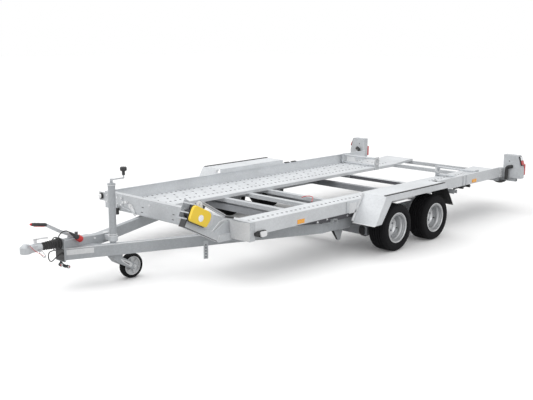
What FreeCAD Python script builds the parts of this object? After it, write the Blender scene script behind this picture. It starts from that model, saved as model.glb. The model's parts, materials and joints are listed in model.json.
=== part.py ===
"""Tandem-axle tilting car hauler trailer, galvanised, standing level on its tyres and jockey wheel.

Sizes are in millimetres. While it is drawn, x = 0 is half way between the two axles, +X points
to the coupling, +Y to the side of the winch and +Z up from the floor. Every piece is moved by
-X_MIDDLE as it is saved, so that the finished model's origin is the middle of its base.
"""
import FreeCAD
import Part
import os
from math import atan2, cos, degrees, pi, radians, sin, tan

V = FreeCAD.Vector

# Wheels and axles
TYRE_D = 449.0            # outer diameter, 195/50 R10 C
TYRE_W = 198.0
RIM_D = 290.0             # over the rim flanges
RIM_W = 168.0
RIM_T = 4.0
WHEELBASE = 637.0         # between the two axles
WHEEL_Y = 1118.0          # middle of the tyre from the centre plane
DISC_Y = -13.0            # outer face of the brake drum from the middle of the wheel
DRUM_D = 200.0
STUB_R = 19.8
STUB_GAP = 0.2            # between stub axle and hub
ARM_REACH = 160.0         # axle tube ahead of the wheel centre
AXLE_TUBE = 84.0
AXLE_Z = 192.0
ARM_T = 24.0              # swinging arm, from side to side

# Chassis
RAIL_H = 93.0             # height of the two chassis rails
RAIL_W = 50.0
RAIL_WALL = 4.0
RAIL_TOP = 335.0          # top of the rails above the floor
RAIL_Y = 897.0            # outer face of the parallel stretch
RAIL_REAR = -940.0        # rear end of the rails
BEND_X = 1046.0           # where the rails turn in towards the coupling
NOSE_END_X = 3178.0       # front end of the rails
NOSE_END_Y = 46.0         # outer face there
CROSS_SIDE = 60.0         # square tubes between the rails
CROSS_FRONT_X = 986.0
CROSS_REAR_X = -790.0
PIVOT_X = -900.0          # hinge of the bed
PIVOT_Z = 300.0
PIN_R = 14.0
PIN_GAP = 0.05            # running fit of the hinge pins

# Bed
REST_GAP = 0.3            # between bed and chassis where the bed lies on it
BED_FRONT = 2055.0
BED_REAR = -2040.0        # end of the side walls
BED_Y = 984.0             # outer face of the side walls
SHEET = 3.0
FLOOR_TOP = 405.0
WALL_H = 110.0            # side wall above the track floor
WALL_FLANGE = 22.0
TRACK_EDGE = 437.0        # inner edge of each track from the centre plane
LIP_H = 32.0              # folded lip under the inner edge
BEAM_BOTTOM = 355.0       # front beam
BEAM_T = 60.0
BEAM_WALL = 4.0
MEMBER_W = 60.0           # cross members of the bed
MEMBER_FRONTS = (1000.0, 650.0, 360.0, -1030.0)   # their front edges
RAMP_START = -1960.0      # where the rear ramps rise
RAMP_END = -2348.0
RAMP_RISE = 25.0
RAMP_W = 406.0
RAMP_LIP_H = 23.0
REAR_BEAM = 40.0          # side of the square rear beam and of the lamp carrier
CARRIER_Y = 1150.0        # end of the lamp carrier

# Fenders
FENDER_Y = 1240.0
FENDER_TOP = 558.0
FENDER_SHEET = 3.0
FENDER_FRONT = 560.0      # front and rear ends of the top plate
FENDER_REAR = -440.0
FENDER_FOOT_X = 712.0     # lower edge of the sloping front plate
FENDER_FOOT_Z = 308.0
FENDER_FOOT_W = 90.0      # side skirt at that edge
SKIRT_FRONT = 472.0       # where the level stretch of the skirt starts
SKIRT_H = 52.0
FLAP_FOOT_X = -590.0
FLAP_FOOT_Z = 317.0
FLAP_T = 6.0

# Jockey stand
JOCKEY_X = 2769.0
JOCKEY_Y = 125.0
JOCKEY_TUBE_R = 30.0
JOCKEY_STEM_R = 26.9
JOCKEY_GAP = 0.1          # sliding fit of the stem
JOCKEY_TUBE_BOTTOM = 350.0
JOCKEY_TUBE_TOP = 812.0
JOCKEY_TRAIL = 172.0
JOCKEY_WHEEL_D = 210.0
JOCKEY_WHEEL_W = 76.0
JOCKEY_PIN_R = 9.0        # swivel pin
JOCKEY_AXLE_R = 10.0
CROWN_GAP = 6.0           # between the fork's crown and the rails above it
FORK_SHEET = 5.0
FORK_GAP = 6.0            # between wheel and fork cheek
CRANK_REACH = 122.0

# Coupling and overrun device
HITCH_Z = 378.0           # axis of the draw tube
HOUSING_REAR = 2905.0
HOUSING_TOP = 397.0
HOUSING_Y = 40.0          # half width
FACE_T = 12.0             # front plate
FACE_Y = 62.0
FACE_BOTTOM = 232.0
DRAW_R = 25.0
BELLOWS_R = 40.0
HEAD_REAR = 3358.0
BALL_X = 3488.0
BALL_R = 25.3             # half of the 50 mm ball with its play
HEAD_R = 44.0
HEAD_UP = 20.0            # head above and below the axis
HEAD_DOWN = 30.0

# Lamp boxes
BOX_T = 80.0
BOX_GAP = 16.0            # from the plane of the side wall
BOX_W = 217.0
BOX_BOTTOM = 402.0
BOX_TOP = 664.0
BOX_SLOPE_Y = 45.0        # the outer edge leans in at the top
BOX_SLOPE_Z = 150.0
BOX_SHEET = 3.0
TAIL_LAMP_T = 28.0

# Tilt damper, between the left rail and the bed
DAMPER_Y = 800.0
DAMPER_FOOT = (714.0, 125.0)   # x and z of its lower bolt
DAMPER_HEAD = (897.0, 352.0)   # x and z of its upper bolt
DAMPER_R = 14.0
DAMPER_ROD_R = 6.0
DAMPER_EYE_R = 15.0
DAMPER_EYE_W = 16.0

# Winch and its stand
STAND_Y = 746.0
STAND_SIDE = 60.0
STAND_Z = 372.0
STAND_RISE = radians(27)
STAND_LEVEL = 140.0       # level stretch in front of the beam
ARM_LENGTH = 400.0
COVER_Y = 842.0           # outer face of the winch cover

# Cords
CABLE_R = 4.5
BRAKE_CABLE_R = 2.0

BOX_X = BED_REAR - 4.0    # front face of the lamp boxes
BOX_IN = BED_Y + BOX_GAP
BOX_OUT = BOX_IN + BOX_W
NOSE_X = BALL_X + HEAD_R
TAIL_X = RAMP_END - REAR_BEAM / 2
X_MIDDLE = (NOSE_X + TAIL_X) / 2

os.makedirs("parts", exist_ok=True)


def box(x0, x1, y0, y1, z0, z1):
    """Block between two corners."""
    return Part.makeBox(abs(x1 - x0), abs(y1 - y0), abs(z1 - z0), V(min(x0, x1), min(y0, y1), min(z0, z1)))


def rod(start, end, radius):
    """Round bar between two points."""
    a, b = V(*start), V(*end)
    return Part.makeCylinder(radius, a.distanceToPoint(b), a, b.sub(a))


def pipe(start, end, radius, bore):
    """Round tube between two points."""
    return rod(start, end, radius).cut(rod(start, end, bore))


def plate(points, start, end, axis="x"):
    """Flat outline given in the two other axes, drawn out along one axis."""
    place = {"x": lambda a, b: V(start, a, b), "y": lambda a, b: V(a, start, b), "z": lambda a, b: V(a, b, start)}[axis]
    out = {"x": V(end - start, 0, 0), "y": V(0, end - start, 0), "z": V(0, 0, end - start)}[axis]
    corners = [place(a, b) for a, b in points]
    return Part.Face(Part.makePolygon(corners + corners[:1])).extrude(out)


def turned(profile, centre, axis):
    """Round piece: a closed outline of (distance along the axis, radius), turned about that axis."""
    corners = [V(a, r, 0) for a, r in profile]
    shape = Part.Face(Part.makePolygon(corners + corners[:1])).revolve(V(0, 0, 0), V(1, 0, 0), 360)
    if axis == "y":
        shape.rotate(V(0, 0, 0), V(0, 0, 1), 90)
    if axis == "z":
        shape.rotate(V(0, 0, 0), V(0, 1, 0), -90)
    shape.translate(V(*centre))
    return shape


def fused(pieces):
    """One solid from pieces that touch or overlap."""
    return pieces[0].multiFuse(pieces[1:]).removeSplitter()


def mirrored(shape):
    """The same piece on the other side of the centre plane."""
    return shape.mirror(V(0, 0, 0), V(0, 1, 0))


def both(shape):
    """A piece and its mirror image."""
    return Part.makeCompound([shape, mirrored(shape)])


def save(name, shape):
    """Write one node, moved so that the origin is the middle of the base."""
    moved = shape.copy()
    moved.translate(V(-X_MIDDLE, 0, 0))
    moved.exportStep("parts/" + name + ".step")


def bent_tube(name, points, radius):
    """Cord: straight runs joined by tangent arcs, each as large as its two runs allow."""
    share = 0.45
    corners = [V(*p) for p in points]
    edges, at, radii = [], corners[0], []
    for before, corner, after in zip(corners, corners[1:], corners[2:]):
        back, ahead = before.sub(corner), after.sub(corner)
        reach = share * min(back.Length, ahead.Length)
        half_turn = (pi - back.getAngle(ahead)) / 2
        bend = reach / tan(half_turn)
        radii.append(bend)
        back.normalize()
        ahead.normalize()
        inward = back.add(ahead).normalize()
        first, last = corner.add(back * reach), corner.add(ahead * reach)
        middle = corner.add(inward * (bend / cos(half_turn) - bend))
        edges.append(Part.LineSegment(at, first).toShape())
        edges.append(Part.Arc(first, middle, last).toShape())
        at = last
    edges.append(Part.LineSegment(at, corners[-1]).toShape())
    path = Part.Wire(edges)
    ring = Part.Wire(Part.Circle(corners[0], corners[1].sub(corners[0]), radius).toShape())
    tube = path.makePipeShell([ring], True, False)
    print(name, "length", round(path.Length, 1), "radii", [round(r, 1) for r in radii],
          "volume over section times length", round(tube.Volume / (pi * radius ** 2 * path.Length), 5))
    return tube


# Chassis rails: hollow, bent in towards the coupling, mitred where they meet
RAIL_BOTTOM = RAIL_TOP - RAIL_H
RAIL_TURN = atan2(RAIL_Y - NOSE_END_Y, NOSE_END_X - BEND_X)
RAIL_IN = RAIL_Y - RAIL_W


def rail(inset, z0, z1):
    """Bent bar with its sides set in by a distance."""
    points = []
    for depth, order in ((inset, 1), (RAIL_W - inset, -1)):
        side_y = RAIL_Y - depth
        bend_x = BEND_X - depth * tan(RAIL_TURN / 2)
        front_y = side_y - tan(RAIL_TURN) * (NOSE_END_X - bend_x)
        points += [(RAIL_REAR, side_y), (bend_x, side_y), (NOSE_END_X, front_y)][::order]
    bar = plate(points, z0, z1, "z")
    return bar.cut(box(RAIL_REAR, NOSE_END_X + 1, -RAIL_Y, 0, z0, z1))


def rail_inner_y(x):
    """Inner face of a rail at a place in its slanted stretch."""
    return NOSE_END_Y + (NOSE_END_X - x) * tan(RAIL_TURN) - RAIL_W / cos(RAIL_TURN)


rail_left = rail(0, RAIL_BOTTOM, RAIL_TOP).cut(rail(RAIL_WALL, RAIL_BOTTOM + RAIL_WALL, RAIL_TOP - RAIL_WALL))
save("chassis_rail_left", rail_left)
save("chassis_rail_right", mirrored(rail_left))

RAIL_MID_Z = RAIL_TOP - RAIL_H / 2
cross_tubes = []
for x in (CROSS_FRONT_X, CROSS_REAR_X):
    outer, inner = CROSS_SIDE / 2, CROSS_SIDE / 2 - RAIL_WALL
    solid = box(x - outer, x + outer, -RAIL_IN, RAIL_IN, RAIL_MID_Z - outer, RAIL_MID_Z + outer)
    cross_tubes.append(solid.cut(box(x - inner, x + inner, -RAIL_IN, RAIL_IN, RAIL_MID_Z - inner, RAIL_MID_Z + inner)))
save("chassis_cross_tubes", Part.makeCompound(cross_tubes))

# Axles: a square tube under the rails, arms back to the hubs, round back plates and stub axles
TYRE_R = TYRE_D / 2
PLATE_Y = WHEEL_Y - RIM_W / 2 - 22        # outer face of the back plate
PLATE_T = 10.0
PLATE_RIM = 8.0                           # back plate past the drum
ARM_OUT = PLATE_Y - PLATE_T
STUB_END = WHEEL_Y + DISC_Y + 24
half_tube = AXLE_TUBE / 2
for name, wheel_x in (("front", WHEELBASE / 2), ("rear", -WHEELBASE / 2)):
    tube_x = wheel_x + ARM_REACH
    tube = box(tube_x - half_tube, tube_x + half_tube, -ARM_OUT, ARM_OUT, AXLE_Z - half_tube, AXLE_Z + half_tube)
    seat = box(tube_x - half_tube, tube_x + half_tube, RAIL_IN, RAIL_Y, AXLE_Z, RAIL_BOTTOM)
    arm = plate([(tube_x + half_tube, AXLE_Z - half_tube), (tube_x + half_tube, AXLE_Z + half_tube),
                 (wheel_x - 30, TYRE_R + 32), (wheel_x - 30, TYRE_R - 32)], ARM_OUT - ARM_T, ARM_OUT, "y")
    guard = rod((wheel_x, ARM_OUT, TYRE_R), (wheel_x, PLATE_Y, TYRE_R), DRUM_D / 2 + PLATE_RIM)
    stub = rod((wheel_x, ARM_OUT, TYRE_R), (wheel_x, STUB_END, TYRE_R), STUB_R)
    side = fused([seat, arm, guard, stub])
    save("axle_" + name, fused([tube, side, mirrored(side)]))

# Wheels: tyre, and rim with disc, brake drum and hub cap in one
RIM_R = RIM_D / 2
BEAD_R = RIM_R - 17
DISH_R = BEAD_R - 20
half_tyre, half_rim = TYRE_W / 2, RIM_W / 2
tyre_outline = [(-half_rim, BEAD_R), (-half_rim, RIM_R + 0.2), (-half_tyre, RIM_R + 14), (-half_tyre + 1, TYRE_R - 34),
                (-half_tyre + 8, TYRE_R - 14), (-half_tyre + 24, TYRE_R - 2), (-half_tyre + 46, TYRE_R),
                (half_tyre - 46, TYRE_R), (half_tyre - 24, TYRE_R - 2), (half_tyre - 8, TYRE_R - 14),
                (half_tyre - 1, TYRE_R - 34), (half_tyre, RIM_R + 14), (half_rim, RIM_R + 0.2), (half_rim, BEAD_R)]
rim_outline = [(-half_rim, RIM_R), (-half_rim, BEAD_R - 6), (-half_rim + 40, BEAD_R - RIM_T),
               (-half_rim + 56, BEAD_R - 14), (half_rim - 44, BEAD_R - 14), (half_rim - 30, BEAD_R - RIM_T),
               (half_rim, BEAD_R - RIM_T), (half_rim, RIM_R), (half_rim + RIM_T, RIM_R),
               (half_rim + RIM_T, BEAD_R - 10), (half_rim - 32, BEAD_R - RIM_T - 5), (half_rim - 48, DISH_R),
               (-half_rim + 60, DISH_R), (-half_rim + 40, BEAD_R - RIM_T - 5), (-half_rim - RIM_T, BEAD_R - 10),
               (-half_rim - RIM_T, RIM_R)]
disc_outline = [(DISC_Y, 34), (DISC_Y, 62), (DISC_Y + 16, 80), (DISC_Y + 16, DISH_R), (DISC_Y + 22, DISH_R),
                (DISC_Y + 22, 78), (DISC_Y + 6, 60), (DISC_Y + 6, 34)]
drum_in = PLATE_Y - WHEEL_Y + 6
HUB_BORE = STUB_R + STUB_GAP
drum_outline = [(drum_in, DRUM_D / 2 - 12), (drum_in, DRUM_D / 2), (DISC_Y, DRUM_D / 2 - 4), (DISC_Y, HUB_BORE),
                (DISC_Y - 40, HUB_BORE), (DISC_Y - 40, 34), (DISC_Y - 10, 34), (DISC_Y - 10, DRUM_D / 2 - 12)]
cap_outline = [(DISC_Y, HUB_BORE), (DISC_Y, 34), (DISC_Y + 30, 31), (DISC_Y + 34, 27), (DISC_Y + 34, 0),
               (DISC_Y + 30, 0), (DISC_Y + 30, HUB_BORE)]
for end, x in (("front", WHEELBASE / 2), ("rear", -WHEELBASE / 2)):
    place = (x, WHEEL_Y, TYRE_R)
    tyre = turned(tyre_outline, place, "y").cut(turned(rim_outline + [(-half_rim - RIM_T, 1), (0, 1)], place, "y"))
    wheel = fused([turned(outline, place, "y") for outline in (rim_outline, disc_outline, drum_outline, cap_outline)])
    for side, turn in (("left", lambda shape: shape), ("right", mirrored)):
        save("tyre_" + end + "_" + side, turn(tyre))
        save("rim_" + end + "_" + side, turn(wheel))

# Overrun housing over the nose of the rails, with its front plate
SLAB_T = 14.0
SLAB_FRONT = 3044.0
slab_y = [(x, rail_inner_y(x)) for x in (HOUSING_REAR, SLAB_FRONT)]
slab = plate([slab_y[0], slab_y[1], (slab_y[1][0], -slab_y[1][1]), (slab_y[0][0], -slab_y[0][1])],
             RAIL_TOP - SLAB_T, RAIL_TOP, "z")
FACE_X = NOSE_END_X + FACE_T
housing = box(HOUSING_REAR, NOSE_END_X, -HOUSING_Y, HOUSING_Y, RAIL_TOP, HOUSING_TOP)
face = box(NOSE_END_X, FACE_X, -FACE_Y, FACE_Y, FACE_BOTTOM, HOUSING_TOP + 20)
save("overrun_housing", fused([housing, slab, face]))

save("draw_tube", rod((FACE_X, 0, HITCH_Z), (HEAD_REAR + 16, 0, HITCH_Z), DRAW_R))
BELLOWS_RIBS = 8
pitch = (HEAD_REAR - FACE_X) / BELLOWS_RIBS
bellows_outline = [(0, DRAW_R)]
for i in range(BELLOWS_RIBS):
    crest = BELLOWS_R - 4 * i / BELLOWS_RIBS
    bellows_outline += [(i * pitch, crest - 7), (i * pitch + pitch / 2, crest)]
bellows_outline += [(BELLOWS_RIBS * pitch, 30), (BELLOWS_RIBS * pitch, DRAW_R)]
save("bellows", turned(bellows_outline, (FACE_X, 0, HITCH_Z), "x"))

# Coupling head with its ball socket, and the handle on top
SHANK_R = 33.0
SHANK_L = 60.0
HEAD_TOP = HITCH_Z + HEAD_UP
HEAD_BOTTOM = HITCH_Z - HEAD_DOWN
head = fused([rod((HEAD_REAR, 0, HITCH_Z), (HEAD_REAR + SHANK_L, 0, HITCH_Z), SHANK_R),
              plate([(HEAD_REAR + SHANK_L - 20, -30), (BALL_X, -40), (BALL_X, 40), (HEAD_REAR + SHANK_L - 20, 30)],
                    HITCH_Z - 26, HITCH_Z + 24, "z"),
              rod((BALL_X, 0, HEAD_BOTTOM), (BALL_X, 0, HEAD_TOP), HEAD_R),
              Part.makeSphere(36, V(BALL_X, 0, HITCH_Z + 10))])
head = head.cut(Part.makeSphere(BALL_R, V(BALL_X, 0, HITCH_Z)))
head = head.cut(rod((BALL_X, 0, HITCH_Z - 60), (BALL_X, 0, HITCH_Z), BALL_R))
head = head.cut(rod((HEAD_REAR, 0, HITCH_Z), (HEAD_REAR + 16, 0, HITCH_Z), DRAW_R))
HOOK_PIN = (3388.2, 353.9)       # x and z of the pin for the snap hook
HOOK_PIN_R = 4.0
EYE_PIN = (3484.0, 420.0)        # x and z of the eye of the breakaway cable
EYE_PIN_R = 5.0
LUG_Y = 56.0
head = fused([head, rod((HOOK_PIN[0], 20, HOOK_PIN[1]), (HOOK_PIN[0], LUG_Y - 4, HOOK_PIN[1]), HOOK_PIN_R),
              box(EYE_PIN[0] - 8, EYE_PIN[0] + 8, 30, 38, HITCH_Z, EYE_PIN[1] + EYE_PIN_R),
              rod((EYE_PIN[0], 30, EYE_PIN[1]), (EYE_PIN[0], LUG_Y, EYE_PIN[1]), EYE_PIN_R)])
save("coupling_head", head)
HANDLE_FOOT_X = BALL_X - 96
HANDLE_SEAT = HITCH_Z + 24
handle = fused([
    box(HANDLE_FOOT_X, HANDLE_FOOT_X + 26, -9, 9, HANDLE_SEAT, HANDLE_SEAT + 42),
    plate([(HANDLE_FOOT_X - 92, HANDLE_SEAT + 36), (HANDLE_FOOT_X + 26, HANDLE_SEAT + 40),
           (HANDLE_FOOT_X + 40, HANDLE_SEAT + 50), (HANDLE_FOOT_X - 92, HANDLE_SEAT + 46)], -17, 17, "y")])
save("coupling_handle", handle.cut(head))

# Handbrake lever on the housing, and its grip
BRAKE_FOOT_X = 3060.0
BRAKE_HAND = (3300.0, 540.0)
BRAKE_Y = -20.0
brake_foot = box(BRAKE_FOOT_X - 50, BRAKE_FOOT_X + 40, BRAKE_Y - 14, BRAKE_Y + 14, HOUSING_TOP, HOUSING_TOP + 28)
brake_bar = plate([(BRAKE_FOOT_X - 14, HOUSING_TOP + 22), (BRAKE_FOOT_X + 14, HOUSING_TOP + 8),
                   (BRAKE_HAND[0], BRAKE_HAND[1] - 12), (BRAKE_HAND[0], BRAKE_HAND[1] + 12)],
                  BRAKE_Y - 9, BRAKE_Y + 9, "y")
save("handbrake_lever", fused([brake_foot, brake_bar]))
save("handbrake_grip", rod((BRAKE_HAND[0], BRAKE_Y, BRAKE_HAND[1]), (BRAKE_HAND[0] + 134, BRAKE_Y, BRAKE_HAND[1]), 14))

# Centre beam from the housing to the jockey stand
CENTRE_Y = 36.0
CENTRE_X0 = 2700.0
CENTRE_Z = (323.0, 393.0)
TIE_X = 2860.0
centre = box(CENTRE_X0, HOUSING_REAR, -CENTRE_Y, CENTRE_Y, *CENTRE_Z)
centre = centre.cut(box(CENTRE_X0, HOUSING_REAR - 20, -CENTRE_Y + 4, CENTRE_Y - 4, CENTRE_Z[0] + 4, CENTRE_Z[1] - 4))
tie_y = rail_inner_y(HOUSING_REAR)
tie = box(TIE_X, HOUSING_REAR, -tie_y, tie_y, CENTRE_Z[0] - 20, CENTRE_Z[0])
save("centre_beam", fused([centre.cut(slab), tie]))

# Jockey stand: fixed outer tube and clamp, crank, sliding stem, swivelling fork and wheel
JX, JY = JOCKEY_X, JOCKEY_Y
TUBE_CAP = 12.0
stem_bore = JOCKEY_STEM_R + JOCKEY_GAP
save("jockey_tube", fused([
    pipe((JX, JY, JOCKEY_TUBE_BOTTOM), (JX, JY, JOCKEY_TUBE_TOP), JOCKEY_TUBE_R, stem_bore),
    rod((JX, JY, JOCKEY_TUBE_TOP - TUBE_CAP / 2), (JX, JY, JOCKEY_TUBE_TOP + TUBE_CAP / 2), JOCKEY_TUBE_R + 3),
    rod((JX, JY, JOCKEY_TUBE_TOP), (JX, JY, JOCKEY_TUBE_TOP + 28), 12)]))
CLAMP_Z = (346.0, 386.0)
clamp = fused([box(JX - 24, JX + 24, CENTRE_Y, JY, *CLAMP_Z),
               rod((JX, JY, CLAMP_Z[0]), (JX, JY, CLAMP_Z[1]), JOCKEY_TUBE_R + 9)])
save("jockey_clamp", clamp.cut(rod((JX, JY, CLAMP_Z[0]), (JX, JY, CLAMP_Z[1]), JOCKEY_TUBE_R)))
CRANK_Z = JOCKEY_TUBE_TOP + 28
CRANK_R = 6.0
crank_x = JX - CRANK_REACH
save("jockey_crank", fused([rod((JX, JY, CRANK_Z), (JX, JY, CRANK_Z + 16), 12),
                            rod((JX, JY, CRANK_Z + 8), (crank_x, JY, CRANK_Z + 8), CRANK_R),
                            Part.makeSphere(CRANK_R, V(crank_x, JY, CRANK_Z + 8)),
                            rod((crank_x, JY, CRANK_Z + 8), (crank_x, JY, CRANK_Z + 30), CRANK_R)]))
save("jockey_knob", fused([rod((crank_x, JY, CRANK_Z + 30), (crank_x, JY, CRANK_Z + 76), 12),
                           rod((crank_x, JY, CRANK_Z + 76), (crank_x, JY, CRANK_Z + 98), 24)]))

FORK_TOP = RAIL_BOTTOM - CROWN_GAP
STEM_TOP = JOCKEY_TUBE_TOP - TUBE_CAP - 5
PIN_L = 58.0
stem = rod((JX, JY, FORK_TOP + REST_GAP), (JX, JY, STEM_TOP), JOCKEY_STEM_R)
save("jockey_stem", stem.cut(rod((JX, JY, FORK_TOP), (JX, JY, FORK_TOP + PIN_L + 2), JOCKEY_PIN_R + PIN_GAP)))
WHEEL_R = JOCKEY_WHEEL_D / 2
wheel_x = JX - JOCKEY_TRAIL
cheek_y = JOCKEY_WHEEL_W / 2 + FORK_GAP
CROWN_X = (JX - 54, JX + 30)
web_low = (JX - 12, FORK_TOP - 76)
web_high = (CROWN_X[1], FORK_TOP - 24)
cheek_outline = [(CROWN_X[1], FORK_TOP), web_high, web_low, (wheel_x + 16, WHEEL_R - 24), (wheel_x - 18, WHEEL_R - 16),
                 (wheel_x - 20, WHEEL_R + 16), (CROWN_X[0], FORK_TOP - 32), (CROWN_X[0], FORK_TOP)]
cheeks = [plate(cheek_outline, JY + y, JY + y + FORK_SHEET, "y") for y in (cheek_y, -cheek_y - FORK_SHEET)]
web_outline = [(CROWN_X[1], FORK_TOP), web_high, web_low, (web_low[0] - FORK_SHEET, web_low[1] + FORK_SHEET),
               (CROWN_X[1] - FORK_SHEET, FORK_TOP - 22), (CROWN_X[1] - FORK_SHEET, FORK_TOP - FORK_SHEET),
               (CROWN_X[0], FORK_TOP - FORK_SHEET), (CROWN_X[0], FORK_TOP)]
crown = plate(web_outline, JY - cheek_y, JY + cheek_y, "y")
axle_end = cheek_y + FORK_SHEET + 7
bolt = rod((wheel_x, JY - axle_end, WHEEL_R), (wheel_x, JY + axle_end, WHEEL_R), JOCKEY_AXLE_R)
swivel_pin = rod((JX, JY, FORK_TOP - 2), (JX, JY, FORK_TOP + PIN_L), JOCKEY_PIN_R)
save("jockey_fork", fused([crown, *cheeks, bolt, swivel_pin]))
half_wheel = JOCKEY_WHEEL_W / 2
hub_bore = JOCKEY_AXLE_R + PIN_GAP
TREAD_R = WHEEL_R - 26
save("jockey_rim", turned([(-half_wheel, hub_bore), (-half_wheel, 24), (-14, 28), (-14, TREAD_R - 8), (-24, TREAD_R - 8),
                           (-24, TREAD_R), (24, TREAD_R), (24, TREAD_R - 8), (14, TREAD_R - 8), (14, 28),
                           (half_wheel, 24), (half_wheel, hub_bore)], (wheel_x, JY, WHEEL_R), "y"))
save("jockey_tyre", turned([(-24, TREAD_R), (-half_wheel, TREAD_R + 8), (-24, WHEEL_R - 4), (-12, WHEEL_R), (12, WHEEL_R),
                            (24, WHEEL_R - 4), (half_wheel, TREAD_R + 8), (24, TREAD_R)], (wheel_x, JY, WHEEL_R), "y"))

# Tracks, each welded from three sheets: floor with its folded lip, side wall with its top flange, and rear ramp
WALL_TOP = FLOOR_TOP + WALL_H
LIP_BOTTOM = FLOOR_TOP - LIP_H
FLOOR_BOTTOM = FLOOR_TOP - SHEET
WALL_IN = BED_Y - SHEET
floor_section = [(WALL_IN, FLOOR_BOTTOM), (WALL_IN, FLOOR_TOP), (TRACK_EDGE, FLOOR_TOP), (TRACK_EDGE, LIP_BOTTOM),
                 (TRACK_EDGE + SHEET, LIP_BOTTOM), (TRACK_EDGE + SHEET, FLOOR_BOTTOM)]
BEAM_REAR = BED_FRONT - BEAM_T
floor_sheet = plate(floor_section, RAMP_START, BEAM_REAR, "x")
RAMP_Y = TRACK_EDGE + RAMP_W
floor_sheet = floor_sheet.fuse(box(BED_REAR, RAMP_START, RAMP_Y, WALL_IN, FLOOR_BOTTOM, FLOOR_TOP)).removeSplitter()
wall_section = [(BED_Y, FLOOR_BOTTOM), (BED_Y, WALL_TOP), (BED_Y - WALL_FLANGE, WALL_TOP),
                (BED_Y - WALL_FLANGE, WALL_TOP - SHEET), (WALL_IN, WALL_TOP - SHEET), (WALL_IN, FLOOR_BOTTOM)]
side_wall = plate(wall_section, BED_REAR, BEAM_REAR, "x")
ramp_side = [(RAMP_START, FLOOR_BOTTOM), (RAMP_START, FLOOR_TOP), (RAMP_END, FLOOR_TOP + RAMP_RISE),
             (RAMP_END, FLOOR_BOTTOM + RAMP_RISE)]
ramp = plate(ramp_side, TRACK_EDGE, RAMP_Y, "y")
BAR_REAR = RAMP_START - REAR_BEAM         # rear face of the bar under the start of the ramps
lip_start_z = FLOOR_TOP + RAMP_RISE * REAR_BEAM / (RAMP_START - RAMP_END)
ramp_lip = [(BAR_REAR, lip_start_z), (BAR_REAR, lip_start_z - RAMP_LIP_H), (RAMP_END + REAR_BEAM / 2, FLOOR_BOTTOM),
            (RAMP_END, FLOOR_BOTTOM), (RAMP_END, FLOOR_TOP + RAMP_RISE)]
ramp_lips = [plate(ramp_lip, y, y + SHEET, "y") for y in (TRACK_EDGE, RAMP_Y - SHEET)]
track = Part.makeCompound([floor_sheet, side_wall, fused([ramp, *ramp_lips])])
save("track_left", track)
save("track_right", mirrored(track))

# Front beam, cross members, rear beam and lamp carrier
front_beam = box(BEAM_REAR, BED_FRONT, -BED_Y, BED_Y, BEAM_BOTTOM, WALL_TOP)
save("front_beam", front_beam.cut(box(BEAM_REAR, BED_FRONT - BEAM_WALL, -BED_Y + BEAM_WALL, BED_Y - BEAM_WALL,
                                      BEAM_BOTTOM + BEAM_WALL, WALL_TOP - BEAM_WALL)))
MEMBER_BOTTOM = RAIL_TOP + REST_GAP
MEMBER_WALL = 4.0
members = []
for x in MEMBER_FRONTS:
    bar = box(x - MEMBER_W, x, -WALL_IN, WALL_IN, MEMBER_BOTTOM, LIP_BOTTOM)
    members.append(bar.cut(box(x - MEMBER_W + MEMBER_WALL, x - MEMBER_WALL, -BED_Y, BED_Y,
                               MEMBER_BOTTOM, LIP_BOTTOM - MEMBER_WALL)))
DAMPER_EAR_T = 6.0
DAMPER_EAR_GAP = 5.0
ear_in = DAMPER_R + DAMPER_EAR_GAP
first_rear = MEMBER_FRONTS[0] - MEMBER_W
damper_ears = [box(DAMPER_HEAD[0] - 14, first_rear, y, y + DAMPER_EAR_T, MEMBER_BOTTOM, LIP_BOTTOM)
               for y in (DAMPER_Y + ear_in, DAMPER_Y - ear_in - DAMPER_EAR_T)]
members[0] = fused([members[0], *damper_ears])
save("cross_members", Part.makeCompound(members))


def square_bar(x, y0, y1, top):
    """Square tube across the bed."""
    half = REAR_BEAM / 2
    outer = box(x - half, x + half, y0, y1, top - REAR_BEAM, top)
    return outer.cut(box(x - half + 3, x + half - 3, y0, y1, top - REAR_BEAM + 3, top - 3))


save("rear_beam", square_bar(RAMP_END, -RAMP_Y, RAMP_Y, FLOOR_BOTTOM))
CARRIER_X = BOX_X - BOX_T / 2
CARRIER_IN = 870.0
CARRIER_ARM_W = 60.0
carrier_arm = box(CARRIER_X + REAR_BEAM / 2, BAR_REAR, CARRIER_IN, CARRIER_IN + CARRIER_ARM_W,
                  FLOOR_BOTTOM - REAR_BEAM, FLOOR_BOTTOM)
carrier_side = carrier_arm.fuse(square_bar(CARRIER_X, CARRIER_IN, CARRIER_Y, BOX_BOTTOM))
save("lamp_carrier", fused([square_bar(RAMP_START - REAR_BEAM / 2, -WALL_IN, WALL_IN, FLOOR_BOTTOM),
                            carrier_side, mirrored(carrier_side)]))

# Hinge of the bed: ears under the tracks, and pins in the rails
EAR_T = 10.0
EAR_GAP = 5.0
EAR_R = 32.0
ear_y = RAIL_IN - EAR_GAP
ear = fused([rod((PIVOT_X, ear_y - EAR_T, PIVOT_Z), (PIVOT_X, ear_y, PIVOT_Z), EAR_R),
             box(PIVOT_X - EAR_R, PIVOT_X + EAR_R, ear_y - EAR_T, ear_y, PIVOT_Z, FLOOR_BOTTOM)])
save("bed_hinge", both(ear.cut(rod((PIVOT_X, ear_y - EAR_T, PIVOT_Z), (PIVOT_X, ear_y, PIVOT_Z), PIN_R + PIN_GAP))))
save("hinge_pins", both(rod((PIVOT_X, ear_y - EAR_T - 12, PIVOT_Z), (PIVOT_X, RAIL_IN, PIVOT_Z), PIN_R)))

# Fenders with their side skirts, and the rubber flaps behind them
FENDER_IN = BED_Y + 1


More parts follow.
